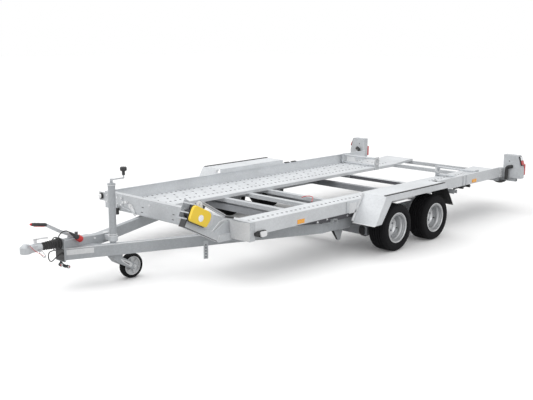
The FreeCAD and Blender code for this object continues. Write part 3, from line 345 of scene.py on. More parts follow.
# %% [markdown]
# Bolts, floor holes and their rims repeat many times, so Geometry Nodes place them. One tree
# puts an item on each point of a small mesh and turns it to that point's stored direction. The
# other lays tiles in a row. Both end in real geometry with one material.

# %% Geometry Nodes helpers
def new_tree(name, sockets):
    """Empty geometry tree with named inputs, and its two end nodes."""
    tree = bpy.data.node_groups.new(name, "GeometryNodeTree")
    for label, kind in (("Geometry", "Geometry"), *sockets):
        tree.interface.new_socket(label, in_out="INPUT", socket_type="NodeSocket" + kind)
    tree.interface.new_socket("Geometry", in_out="OUTPUT", socket_type="NodeSocketGeometry")
    return tree, add_node(tree, "NodeGroupInput"), add_node(tree, "NodeGroupOutput")


def ended_tree(tree, start, spread, end, *middle):
    """Make what is spread real, pass it through the middle nodes, and give it the tree's finish."""
    real = add_node(tree, "GeometryNodeRealizeInstances")
    paint = add_node(tree, "GeometryNodeSetMaterial")
    row = [real, *middle, paint, end]
    wire(tree, (spread, "Instances", real, "Geometry"), (start, "Finish", paint, "Material"),
         *((a, "Geometry", b, "Geometry") for a, b in zip(row, row[1:])))
    return tree


def placed_items_tree():
    """An item on each point, turned to the point's stored direction."""
    tree, start, end = new_tree("placed items", (("Item", "Object"), ("Size", "Float"), ("Finish", "Material")))
    info = add_node(tree, "GeometryNodeObjectInfo")
    aim = add_node(tree, "GeometryNodeInputNamedAttribute", {"Name": "aim"}, data_type="FLOAT_VECTOR")
    turn = add_node(tree, "FunctionNodeAlignRotationToVector", axis="Z")
    spread = add_node(tree, "GeometryNodeInstanceOnPoints")
    wire(tree, (start, "Geometry", spread, "Points"), (start, "Item", info, "Object"),
         (info, "Geometry", spread, "Instance"), (aim, "Attribute", turn, "Vector"),
         (turn, "Rotation", spread, "Rotation"), (start, "Size", spread, "Scale"))
    return ended_tree(tree, start, spread, end)


def tile_row_tree():
    """A tile repeated along x, its neighbours welded together."""
    sockets = (("Tile", "Object"), ("Count", "Int"), ("Pitch", "Float"), ("Finish", "Material"))
    tree, start, end = new_tree("tile row", sockets)
    info = add_node(tree, "GeometryNodeObjectInfo")
    step = add_node(tree, "ShaderNodeCombineXYZ")
    line = add_node(tree, "GeometryNodeMeshLine")
    spread = add_node(tree, "GeometryNodeInstanceOnPoints")
    wire(tree, (start, "Tile", info, "Object"), (start, "Pitch", step, "X"), (start, "Count", line, "Count"),
         (step, "Vector", line, "Offset"), (line, "Mesh", spread, "Points"), (info, "Geometry", spread, "Instance"))
    return ended_tree(tree, start, spread, end, add_node(tree, "GeometryNodeMergeByDistance", {"Distance": 0.0001}))


PLACED = placed_items_tree()
TILED = tile_row_tree()


def grown(name, mesh, tree, values):
    """Plain mesh that a geometry tree makes from a small one."""
    seed = new_object(name, mesh)
    maker = seed.modifiers.new("maker", "NODES")
    maker.node_group = tree
    for item in tree.interface.items_tree:
        if item.item_type == "SOCKET" and item.in_out == "INPUT" and item.name in values:
            maker[item.identifier] = values[item.name]
    bpy.context.view_layer.update()
    result = bpy.data.meshes.new_from_object(seed.evaluated_get(bpy.context.evaluated_depsgraph_get()))
    seed.modifiers.remove(maker)
    bpy.data.objects.remove(seed)
    return result


def item_object(name, bm):
    """Hidden object for a tree to repeat, in metres about its own origin."""
    mesh = bpy.data.meshes.new(name)
    bm.to_mesh(mesh)
    bm.free()
    return bpy.data.objects.new(name, mesh)


def placed_piece(name, item, places, material, body, size=1.0):
    """One piece from an item set at many places: (x, y, z of the drawing, direction)."""
    mesh = bpy.data.meshes.new(name)
    mesh.from_pydata([at(*spot) for spot, aim in places], [], [])
    facing = mesh.attributes.new("aim", "FLOAT_VECTOR", "POINT")
    facing.data.foreach_set("vector", [v for spot, aim in places for v in aim])
    made = grown(name, mesh, PLACED, {"Item": item, "Size": size, "Finish": material})
    dressed(name, made, body, 35)
    print(name, len(places), "items on", body)


print("trees", PLACED.name, "and", TILED.name)

# %% [markdown]
# A bolt here is a washer and a hexagonal head with a softened top edge. One bolt is drawn for a
# size of one millimetre across its thread, and scaled where it is placed.

# %% Bolt
BOLT_SIDES, HEAD_FOOT, HEAD_TOP = 24, 0.14, 0.80


def bolt_item():
    """Hexagon bolt head on its washer, standing on the xy plane, for a thread of one millimetre."""
    bm = bmesh.new()
    washer = ((0.0, 1.15), (HEAD_FOOT, 1.15))
    head = ((HEAD_FOOT, 0.92), (0.70, 0.92), (HEAD_TOP, 0.80), (HEAD_TOP, 0.0))
    rings = []
    for height, radius in washer + head:
        ring = []
        for k in range(BOLT_SIDES):
            angle = 2 * pi * k / BOLT_SIDES
            wedge = (angle + pi / 6) % (pi / 3) - pi / 6
            hexagon = radius < 1.1 and height < HEAD_TOP
            reach = radius * cos(pi / 6) / cos(wedge) if hexagon else radius
            ring.append(bm.verts.new((reach * cos(angle) / 1000, reach * sin(angle) / 1000, height / 1000)))
        rings.append(ring)
    for low, high in zip(rings, rings[1:]):
        add_skin(bm, low, high)
    bm.faces.new(rings[0][::-1])
    bmesh.ops.remove_doubles(bm, verts=bm.verts, dist=1e-7)
    bmesh.ops.recalc_face_normals(bm, faces=bm.faces)
    return item_object("bolt item", bm)


BOLT = bolt_item()
print("bolt faces", len(BOLT.data.polygons))

# %% [markdown]
# Each wheel track is one folded sheet: a side wall with a small flange on top, a floor full of
# drain holes, and a short lip under its inner edge. The holes go right through, so light and shadow
# behave as on the real one, and a near-black sleeve under each rim adds painted shade inside the
# hole. A tile with one hole is repeated along x, and the middle rows have half as many holes, set
# off against each other.

# %% Tracks
FLOOR_TOP, SHEET, BED_Y, WALL_TOP = 405.0, 3.0, 984.0, 515.0
TRACK_EDGE, LIP_BOTTOM, BED_FRONT, BED_REAR = 437.0, 373.0, 1995.0, -2040.0
RAMP_START, RAMP_END, RAMP_Y, RAMP_RISE = -1960.0, -2348.0, 843.0, 25.0
HOLE_R, HOLE_COUNT, ROW_W, ROWS_FROM = 13.0, 64, 119.25, 504.0
HOLE_PITCH, FLOOR_UNDER = (BED_FRONT - RAMP_START) / HOLE_COUNT, FLOOR_TOP - SHEET


def tile_faces(bm, x0, x1, y0, y1, hole, z_top, z_bottom):
    """Rectangle of sheet with or without a round hole in its middle, its four sides left open."""
    across, along, wide, deep = 3, 5, x1 - x0, y1 - y0
    rim = [(x0 + wide * k / across, y0) for k in range(across)]
    rim += [(x1, y0 + deep * k / along) for k in range(along)]
    rim += [(x1 - wide * k / across, y1) for k in range(across)]
    rim += [(x0, y1 - deep * k / along) for k in range(along)]
    mid_x, mid_y = (x0 + x1) / 2, (y0 + y1) / 2
    round_hole = []
    for x, y in rim:
        angle = atan2((y - mid_y) * wide / deep, x - mid_x)
        round_hole.append((mid_x + HOLE_R * cos(angle), mid_y + HOLE_R * sin(angle)))
    loops = [[bm.verts.new((x / 1000, y / 1000, z / 1000)) for x, y in loop]
             for z in (z_top, z_bottom) for loop in ((rim, round_hole) if hole else (rim,))]
    if hole:
        for a, b in ((0, 1), (1, 3), (3, 2)):
            add_skin(bm, loops[a], loops[b])
    else:
        bm.faces.new(loops[0])
        bm.faces.new(loops[1][::-1])


def turned_item(name, profile, sides=14):
    """Item for a tree: a closed outline of (radius, height) turned about its own z axis."""
    bm = bmesh.new()
    rings = [add_ring(bm, Z_AXIS * z / 1000, X_AXIS, Y_AXIS, r, sides) for r, z in profile]
    for a, b in zip(rings, rings[1:] + rings[:1]):
        add_skin(bm, a, b)
    bmesh.ops.recalc_face_normals(bm, faces=bm.faces)
    return item_object(name, bm)


HOLE_ROWS = ((1,), (1, 0), (0, 1), (1,))
RIM_SIDE = [(HOLE_R + 3.5, 0.1), (HOLE_R + 1, 2.4), (HOLE_R - 0.1, 2.4), (HOLE_R - 0.1, 0.1)]
SLEEVE_SIDE = [(HOLE_R - 0.2, 2.2), (HOLE_R - 1, 1.8), (HOLE_R - 1, -10), (HOLE_R - 0.2, -10)]
HOLE_RIM, HOLE_SLEEVE = turned_item("hole rim", RIM_SIDE), turned_item("hole sleeve", SLEEVE_SIDE)


def perforated_floor(side):
    """The four rows of tiles of one track, as plain meshes in the row frame."""
    rows = []
    for row, pattern in enumerate(HOLE_ROWS):
        bm = bmesh.new()
        y0 = ROWS_FROM + row * ROW_W
        for k, hole in enumerate(pattern):
            tile_faces(bm, k * HOLE_PITCH, (k + 1) * HOLE_PITCH, y0, y0 + ROW_W, hole, FLOOR_TOP, FLOOR_UNDER)
        tile = item_object("tile", bm)
        count = HOLE_COUNT // len(pattern)
        mesh = grown("floor row", bpy.data.meshes.new("seed"), TILED,
                     {"Tile": tile, "Count": count, "Pitch": HOLE_PITCH * len(pattern) / 1000, "Finish": track_zinc})
        mesh.transform(Matrix.Translation(at(RAMP_START, 0, 0)))
        if side < 0:
            mesh.transform(Matrix.Scale(-1, 4, Y_AXIS))
            mesh.flip_normals()
        rows.append(mesh)
    return rows


for label, side in (("left", 1), ("right", -1)):
    bm = bmesh.new()
    for mesh in perforated_floor(side):
        bm.from_mesh(mesh)
    bmesh.ops.remove_doubles(bm, verts=bm.verts, dist=0.0002)
    wall_in, flange_in = BED_Y - SHEET, BED_Y - 22.0
    wall = [(wall_in, FLOOR_UNDER), (BED_Y, FLOOR_UNDER), (BED_Y, WALL_TOP), (flange_in, WALL_TOP),
            (flange_in, WALL_TOP - SHEET), (wall_in, WALL_TOP - SHEET)]
    lip = [(TRACK_EDGE, LIP_BOTTOM), (TRACK_EDGE + SHEET, LIP_BOTTOM), (TRACK_EDGE + SHEET, FLOOR_UNDER),
           (ROWS_FROM, FLOOR_UNDER), (ROWS_FROM, FLOOR_TOP), (TRACK_EDGE, FLOOR_TOP)]
    strip = [(RAMP_Y, FLOOR_UNDER), (wall_in, FLOOR_UNDER), (wall_in, FLOOR_TOP), (RAMP_Y, FLOOR_TOP)]
    for outline, x0, x1 in ((wall, BED_REAR, BED_FRONT), (lip, RAMP_START, BED_FRONT), (strip, BED_REAR, RAMP_START)):
        add_outline(bm, [(side * y, z) for y, z in outline], x0, x1)
    ramp = [(RAMP_START, FLOOR_UNDER), (RAMP_START, FLOOR_TOP), (RAMP_END, FLOOR_TOP + RAMP_RISE),
            (RAMP_END, FLOOR_TOP + RAMP_RISE - SHEET)]
    add_outline(bm, ramp, side * TRACK_EDGE, side * RAMP_Y, "y")
    lip_line = [(RAMP_START - 40, 407.6), (RAMP_START - 40, 384.6), (RAMP_END + 20, 402), (RAMP_END, 402),
                (RAMP_END, FLOOR_TOP + RAMP_RISE)]
    for y in (TRACK_EDGE, RAMP_Y - SHEET):
        add_outline(bm, lip_line, side * y, side * (y + SHEET), "y")
    finished("track_sheet_" + label, bm, track_zinc, "bed", ["track_" + label], smooth=30)
    holes = [((RAMP_START + HOLE_PITCH * (k + 0.5), side * (ROWS_FROM + ROW_W * (row + 0.5)), FLOOR_TOP), Z_AXIS)
             for row, pattern in enumerate(HOLE_ROWS) for k in range(HOLE_COUNT) if pattern[k % len(pattern)]]
    placed_piece("hole_rims_" + label, HOLE_RIM, holes, track_zinc, "bed")
    # The sleeves are near black: painted shade inside each hole.
    placed_piece("hole_sleeves_" + label, HOLE_SLEEVE, holes, painted_shade_zinc, "bed")

# %% [markdown]
# A tyre is a turned form with four grooves cut round its tread.
# The rim is a deep dish: the flange shines, the barrel steps down twice, and the disc sits well
# inside. Both are turned at ninety-six sides, finer than the frame's own solids.

# %% Wheels
WHEELBASE, WHEEL_Y, TYRE_R, TYRE_W, RIM_R, RIM_W = 637.0, 1118.0, 224.5, 198.0, 145.0, 168.0
BEAD_R = RIM_R - 17
DISH_R = BEAD_R - 20
DISC_Y, LUGS, LUG_CIRCLE, FINE = -13.0, 5, 56, 96
half_tyre, half_rim = TYRE_W / 2, RIM_W / 2


def moved(profile, along, out=0.0):
    """The same profile, moved along its axis and outward."""
    return [(a + along, r + out) for a, r in profile]


def tread_profile():
    """Outline of the tyre, with four grooves round its tread."""
    crown = [(-52, TYRE_R)]
    for groove in (-40, -14, 14, 40):
        crown += moved([(-4.5, 0), (-3.2, -6.5), (3.2, -6.5), (4.5, 0)], groove, TYRE_R)
    side = moved([(-24, -2), (-10, -11), (-6, -16), (-5, -20), (-1, -36)], half_tyre, TYRE_R)
    side += moved([(0, 30), (-1.5, 27), (-1.5, 20), (-0.5, 17), (-5, 7)], half_tyre, RIM_R)
    side += [(half_rim + 2, RIM_R + 0.3), (half_rim, BEAD_R)]
    return [(-a, r) for a, r in side[::-1]] + crown + side


rim_profile = [
    *moved([(0, 17), (0, -6), (40, -4), (56, -14)], -half_rim, BEAD_R),
    *moved([(-44, -14), (-30, -4), (0, -4)], half_rim, BEAD_R),
    *moved([(0, 0), (3, 0.2), (4.5, -2), (4.5, -9), (1, -14), (-6, -19)], half_rim, RIM_R),
    *moved([(-18, -8), (-30, -9), (-38, -15), (-46, -19), (-54, -20)], half_rim, BEAD_R),
    *moved([(60, -20), (40, -9), (-4, -10), (-4, 17)], -half_rim, BEAD_R)]
disc_profile = moved([(0, 0), (0, 30), (1, 34), (1, 66), (3, 71), (14, 80), (17, 84), (17, 92), (13, 100),
                      (10, DISH_R - 1), (10, DISH_R + 1), (4, DISH_R + 1), (4, 92), (6, 80), (-5, 66), (-5, 0)], DISC_Y)
cap_profile = moved([(0, 0), (0, 33), (18, 32), (26, 29), (30, 22), (31, 0)], DISC_Y)
drum_profile = [(-100, 88), (-100, 100), (-92, 100), (-90, 97), (-60, 97), (-58, 99), (-24, 98), (DISC_Y - 5, 90),
                (DISC_Y - 5, 60), (-28, 60), (-30, 88)]
valve_profile = moved([(6, 0), (6, 5), (34, 4), (38, 3), (38, 0)], DISC_Y)
bm = bmesh.new()
for end, x in (("front", WHEELBASE / 2), ("rear", -WHEELBASE / 2)):
    for label, side in (("left", 1), ("right", -1)):
        centre, out = (x, side * WHEEL_Y, TYRE_R), (0, side, 0)
        spot = f"{end}_{label}"
        body = "wheel_" + spot
        add_turned(bm, tread_profile(), centre, out, FINE)
        finished(f"tyre_{spot}_rubber", bm, tyre_rubber, body, ["tyre_" + spot], smooth=28)
        for profile, sides in ((rim_profile, FINE), (disc_profile, FINE), (cap_profile, 48), (drum_profile, 64)):
            add_turned(bm, profile, centre, out, sides)
        finished(f"rim_{spot}_steel", bm, rim_silver, body, ["rim_" + spot], smooth=30)
        add_turned(bm, valve_profile, (x - 88, side * WHEEL_Y, TYRE_R - 26), out, 12)
        finished("valve_" + spot, bm, black_plastic, body)
        turns = [2 * pi * k / LUGS + 0.3 for k in range(LUGS)]
        lugs = [((x + LUG_CIRCLE * cos(turn), side * (WHEEL_Y + DISC_Y + 1), TYRE_R + LUG_CIRCLE * sin(turn)), out)
                for turn in turns]
        placed_piece("wheel_bolts_" + spot, BOLT, lugs, dark_zinc, body, size=11.0)

# %% [markdown]
# The winch sits on a bent square bar in front of the bed. Its near plate carries a yellow gear
# cover with soft corners, a crank arm rises beside it, and a strap is wound on the drum between
# the plates. The bar slopes, so every shape here is given as a distance along it and above it.

# %% Winch
STAND_RISE, HALF_BAR = radians(27), 30.0
ELBOW_X, STAND_Z = 2195.0, 372.0


def on_stand(along, above):
    """Point over the sloping bar: distance from the elbow, and height over the bar's top face."""
    height = HALF_BAR + above
    return (ELBOW_X + along * cos(STAND_RISE) - height * sin(STAND_RISE),
            STAND_Z + along * sin(STAND_RISE) + height * cos(STAND_RISE))


def add_on_stand(bm, outline, y0, y1):
    """Outline of (along, above) over the bar, drawn out across it."""
    add_outline(bm, [on_stand(*corner) for corner in outline], y0, y1, "y")


def across(spot, y):
    """The same point, at a distance y from the trailer's middle."""
    x, z = on_stand(*spot)
    return x, y, z


def add_across(bm, spot, y0, y1, radius, sides=32):
    """Round bar across the sloping bar."""
    add_rod(bm, across(spot, y0), across(spot, y1), radius, sides)


def rounded(outline, radius, steps=4):
    """The same outline with its corners rounded."""
    soft = []
    for i, corner in enumerate(outline):
        here = Vector(corner)
        back, ahead = Vector(outline[i - 1]) - here, Vector(outline[(i + 1) % len(outline)]) - here
        reach = min(radius, back.length * 0.45, ahead.length * 0.45)
        first, last = here + back.normalized() * reach, here + ahead.normalized() * reach
        for k in range(steps + 1):
            t = k / steps
            soft.append(tuple(first * (1 - t) ** 2 + here * 2 * t * (1 - t) + last * t ** 2))
    return soft


DRUM, GEAR, CRANK_PIN = (325, 62), (231, 64), (357, 152)
COVER_SIDE = [(240, -2), (418, -6), (433, 12), (433, 108), (415, 127), (262, 128), (230, 112), (222, 62)]
add_on_stand(bm, rounded(COVER_SIDE, 16), 812, 842)
finished("winch_cover_shell", bm, winch_yellow, "bed", ["winch_cover"], bevel=7, smooth=50)
SEAL_SIDE = [(a + (3 if a > 300 else -3), u + (3 if u > 60 else -5)) for a, u in COVER_SIDE]
add_on_stand(bm, rounded(SEAL_SIDE, 16), 806, 812)
finished("winch_cover_seal", bm, soft_rubber, "bed")

PLATE_SIDE = [(236, 0), (392, 0), (392, 152), (380, 164), (338, 164), (326, 156), (304, 126), (236, 118)]
add_on_stand(bm, [(236, 0), (392, 0), (392, 5), (236, 5)], 650, 806)
for y in (650, 801):
    add_on_stand(bm, PLATE_SIDE, y, y + 5)
add_across(bm, GEAR, 799, 806, 72, 48)
add_across(bm, GEAR, 806, 808, 64, 48)
for spot in ((386, 134), (390, 60), (390, 10), (262, 100)):
    add_across(bm, spot, 655, 801, 6, 16)
add_across(bm, DRUM, 655, 801, 14)
for y in (660, 790):
    add_across(bm, DRUM, y, y + 5, 50, 48)
finished("winch_plates", bm, galvanised, "bed", ["winch_frame"], bevel=0.8)
winding = [(0, 16)] + [(3 + 3 * k, 34 + (1.5 if k % 2 else 0)) for k in range(41)] + [(125, 16)]
add_turned(bm, winding, across(DRUM, 665), Y_AXIS, 40)
finished("winch_strap", bm, satin_black, "bed")
add_turned(bm, [(0, 0), (0, 27), (2, 27), (3.5, 23), (3.5, 15), (6, 14), (7, 12), (7, 0)],
           across((329, 50), 842), Y_AXIS, 32)
finished("winch_hub", bm, bright_steel, "bed")
add_on_stand(bm, [(42, 143), (42, 167), (352, 184), (352, 160)], 786, 798)
add_across(bm, CRANK_PIN, 786, 801, 16)
add_across(bm, CRANK_PIN, 806, 812, 11, 6)
finished("winch_crank_arm", bm, dark_zinc, "bed", ["winch_crank"], bevel=1.0)
# Bright strips along the crank arm's edges and a bright plate round the crank shaft are painted highlights; the end of
# the crank pin rides in the same piece.
for edge in (0, 18):
    add_on_stand(bm, [(48, 145 + edge), (48, 149 + edge), (346, 166 + edge), (346, 162 + edge)], 798.2, 800.2)
add_on_stand(bm, rounded([(338, 132), (384, 132), (384, 164), (370, 176), (338, 174)], 6), 806.2, 811)
add_across(bm, CRANK_PIN, 811, 820, 9, 6)
finished("winch_bright_edges", bm, pale_zinc_and_highlight, "bed", bevel=0.6)
add_across(bm, (332, 46), 842.2, 844.5, 13, 24)
add_on_stand(bm, [(286, 134), (312, 138), (312, 160), (286, 156)], 700, 798)
add_on_stand(bm, [(240, 96), (322, 96), (322, 150), (300, 150), (292, 130), (240, 122)], 664, 700)
finished("winch_darks", bm, satin_black, "bed")
grip_start, grip_end = across((46, 150), 792), across((-55, 172), 792)
add_turned(bm, [(0, 0), (0, 8), (4, 9.5), (10, 9.5), (14, 8.6), (50, 9.2), (88, 8.4), (94, 9.5), (100, 9.2),
                (103, 7), (103, 0)], grip_start, Vector(grip_end) - Vector(grip_start), 24)
finished("winch_grip_sleeve", bm, black_plastic, "bed", ["winch_grip"])

# %% [markdown]
# The stand's bar is bolted to the front beam through a curved cheek, whose paler zinc paints its
# highlight. A row of bolts holds its flange. A bright strip where the bar is mitred paints the highlight
# of the weld seam, and a dark strip along the bar's lower edge paints the shade under it.

# %% Winch stand details
# The cheek's paler zinc is a painted highlight on the curved sheet.
add_outline(bm, [(2062, 400), (2062, 500), (2105, 508), (2150, 498), (2195, 462), (2232, 432), (2268, 424),
                 (2240, 412), (2190, 403)], 722, 727, "y")
finished("winch_stand_cheek", bm, pale_zinc_and_highlight, "bed", bevel=1.5)
# Bright strip on the weld seam at the mitre: painted highlight.
add_on_stand(bm, [(12, -59), (17, -59), (17, -1), (12, -1)], 776.1, 777)
finished("stand_seam", bm, pale_zinc_and_highlight, "bed")
# Dark strip along the bar's lower edge: painted shade under the bar.
add_on_stand(bm, [(10, -60), (398, -60), (398, -54), (10, -54)], 776.1, 776.9)
finished("stand_shaded", bm, painted_shade_zinc, "bed")
flange_bolts = [((2061, y, z), X_AXIS) for y in (702, 800) for z in (362, 410, 452, 492)]
flange_bolts += [((2061, 728, z), X_AXIS) for z in (418, 444, 470)]
placed_piece("stand_bolts", BOLT, flange_bolts, bright_steel, "bed", size=8.0)

# %% [markdown]
# The coupling head, its handle, the ribbed bellows and the front plate make up the nose. The
# bellows are turned with a soft wave, and the brake lever runs back over them to its pivot.

# %% Nose
NOSE_PLATE_X = 3190.0
wave = [(0, 25), (0, 44), (6, 46), (10, 44)]
for k in range(7):
    wave += moved([(0, -8), (4, -3), (9, 0), (14, -3), (18, -8)], 12 + k * 20, 40 - 1.2 * k)
wave += [(152, 31), (156, 30), (168, 30), (168, 25)]
add_turned(bm, wave, (NOSE_PLATE_X, 0, HITCH_Z), X_AXIS, 56)
finished("bellows_rubber", bm, soft_rubber, "chassis", ["bellows"], smooth=60)
plug_from, plug_along = (3140, 70, 467), (-0.81, 0, -0.586)
add_turned(bm, [(0, 0), (0, 7), (14, 9), (40, 12), (52, 13), (56, 19), (60, 20), (92, 20), (92, 0)],
           plug_from, plug_along, 32)
sleeve = finished("plug_sleeve", bm, black_plastic, "chassis", ["plug"])
cap = [(90, 0), (90, 23)] + [(92 + 3 * k, 26 - (1.2 if k % 2 else 0)) for k in range(11)]
cap += [(126, 25), (132, 21), (132, 0)]
add_turned(bm, cap, plug_from, plug_along, 40)
plug_end = finished("plug_cap", bm, red_plastic, "chassis")
add_turned(bm, [(0.3, 4.6), (0.3, 11), (6, 11), (8, 8.5), (26, 6), (26, 4.6)], CABLE[0], X_AXIS, 32)
finished("cable_grommet", bm, soft_rubber, "chassis")
add_outline(bm, [(3300, 440), (3326, 444), (3404, 442), (3424, 446), (3434, 452), (3420, 452), (3400, 449),
                 (3300, 447)], -17, 17, "y")
add_outline(bm, [(3388, 402), (3414, 402), (3414, 443), (3392, 443)], -8, 8, "y")
for y in (-17, 14):
    add_outline(bm, [(3300, 436), (3424, 446), (3420, 449), (3300, 444)], y, y + 3, "y")
finished("coupling_lever", bm, pale_zinc_and_highlight, "chassis", ["coupling_handle"], bevel=1.0)
add_outline(bm, [(3046, 419), (3074, 405), (3180, 456), (3296, 524), (3296, 554), (3170, 480)], -32, -8, "y")
add_block(bm, 3010, 3100, -34, -6, 397, 412)
add_rod(bm, (3060, -36, 408), (3060, -4, 408), 10)
finished("brake_lever", bm, galvanised, "chassis", ["handbrake_lever"], bevel=2.0)
grip = [(0, 0), (0, 12), (4, 14), (60, 13), (64, 14.5), (96, 13.5), (100, 14.5), (128, 13), (134, 9), (134, 0)]
add_turned(bm, grip, (3286, -20, 538), (0.985, 0, 0.17), 28)
finished("brake_grip", bm, satin_black, "chassis", ["handbrake_grip"])
add_rod(bm, (3402, -20, 558), (3427, -20, 562.5), 12, 24, 8)
add_outline(bm, [(3306, 525), (3396, 540.5), (3396, 546), (3306, 530.5)], -27, -13, "y")
add_block(bm, 3446, 3462, -10, 10, 396, 402)
for x, z in ((3196, 202), (3118, 172)):
    add_rod(bm, (x, 13, z), (x, 17, z), 5, 16)
finished("nose_reds", bm, red_plastic, "chassis")
for x, z, r in ((3188, 202, 15), (3152, 182, 12), (3122, 172, 14)):
    add_rod(bm, (x, -12, z), (x, 13, z), r, 24)
add_outline(bm, [(3180, 232), (3190, 232), (3194, 205), (3160, 180), (3120, 165), (3112, 178), (3150, 196),
                 (3172, 212)], -8, 8, "y")
add_rod(bm, (3042, 12, 397), (3042, 12, 448), 13, 24)
# Dark sheet over the face of the front plate: painted shade, against the light of the front lamp.
add_block(bm, 3190.1, 3191.6, -60, 60, 236, 336)
add_block(bm, 3452, 3520, -14, 14, 397.6, 400.5)
finished("brake_linkage", bm, satin_black, "chassis", bevel=1.0)
for x, y, z0, z1, r in ((2768, 20, 393, 399, 20), (3042, 12, 446, 450, 15)):
    add_rod(bm, (x, y, z0), (x, y, z1), r, 24)
add_rod(bm, (2888, 34, 372), (2888, 44, 372), 9, 20)
for x, z in ((3188, 202), (3122, 172)):
    add_rod(bm, (x, -16, z), (x, 14.5, z), 12, 20)
RAIL_SLOPE = 0.39916
LABEL = [(2962, 282), (3165, 282), (3165, 324), (2962, 324)]
sheet = [[bm.verts.new(at(x, 46 + (3178 - x) * RAIL_SLOPE + out, z)) for x, z in LABEL] for out in (0.4, 1.4)]
for ring in sheet:
    bm.faces.new(ring)
add_skin(bm, *sheet)
bmesh.ops.recalc_face_normals(bm, faces=bm.faces)
finished("nose_fittings", bm, pale_zinc_and_highlight, "chassis", bevel=0.5)
# Thin bright rods along the rails' top edges: painted highlight.
for side in (1, -1):
    line = [(3174, side * 45.5, 333.4), (1046, side * 894.8, 333.4), (-936, side * 894.8, 333.4)]
    add_bent_rod(bm, line, [2.6] * 3, 10)
finished("rail_edges", bm, pale_zinc_and_highlight, "chassis")

# %% [markdown]
# The jockey stand ends in a knob with a narrow neck and a wide cap. Its wheel has six spokes between
# a broad hub and the rim, and the near cheek of its fork carries a pressed slot, drawn as a thin dark
# sheet of painted shade.

# %% Jockey stand details
KNOB = (2647.0, 125.0, 870.0)
add_turned(bm, [(0, 0), (0, 9), (4, 13), (30, 13), (34, 16), (38, 26), (46, 28), (60, 28), (68, 23), (68, 0)],
           KNOB, Z_AXIS, 36)
finished("jockey_knob_cap", bm, black_plastic, "chassis", ["jockey_knob"])
wheel_x, wheel_y, wheel_z = JOCKEY_WHEEL = (2597.0, 125.0, 105.0)
add_turned(bm, [(-24, 79), (24, 79), (24, 72), (19, 70), (-19, 70), (-24, 72)], JOCKEY_WHEEL, Y_AXIS, 64)
add_turned(bm, [(-38, 10.05), (-38, 22), (-30, 25), (30, 25), (38, 22), (38, 10.05)], JOCKEY_WHEEL, Y_AXIS, 40)
add_turned(bm, [(-4, 24), (4, 24), (4, 71), (-4, 71)], JOCKEY_WHEEL, Y_AXIS, 48)
for k in range(6):
    c, d = cos(pi * k / 3 + 0.3), sin(pi * k / 3 + 0.3)
    for y in (-17, 17):
        add_rod(bm, (wheel_x + 23 * c, wheel_y + y * 0.8, wheel_z + 23 * d),
                (wheel_x + 71 * c, wheel_y + y, wheel_z + 71 * d), 6, 10, 5)
finished("jockey_rim_spokes", bm, pale_zinc_and_highlight, "jockey_wheel", ["jockey_rim"])
add_outline(bm, rounded([(2738, 196), (2722, 168), (2634, 104), (2614, 128), (2640, 152)], 10), 174, 175.2, "y")
add_turned(bm, [(0, 0), (0, 17), (2, 17), (2, 11), (8, 10), (8, 0)], (wheel_x, 174.2, wheel_z), Y_AXIS, 6)
finished("jockey_strap", bm, pale_zinc_and_highlight, "jockey_fork", bevel=0.5)
# The slot is a thin near-black sheet on the strap: painted shade in the pressed slot.
add_outline(bm, rounded([(2706, 172), (2700, 164), (2650, 128), (2646, 134)], 4), 175.2, 175.8, "y")
finished("jockey_strap_slot", bm, painted_shade_zinc, "jockey_fork")
for z, r in ((812, 32), (806, 34), (400, 33), (386, 36), (352, 36)):
    add_turned(bm, [(-3, 29.9), (-3, r), (3, r), (3, 29.9)], (2769, 125, z), Z_AXIS, 40)
finished("jockey_collars", bm, pale_zinc_and_highlight, "chassis")
print("nose pieces ready")

# %% [markdown]
# Along the bed: ribs and a lighter plate on each side wall, a beam under the track with its bolts,
# the front lamps on their rubber feet, black trim on the fenders, and the slots, spot and rubber
# buffer of the front beam. The beam under the track is near black, painted shade in the gap, and the
# slots are dark patches of painted shade. The wheel stops get their rings and panels, the rear cross
# member a near-black face of painted shade, and the hanging strap dark discs of painted shade for its
# holes. Under the bed are the axle boots and a red hose.

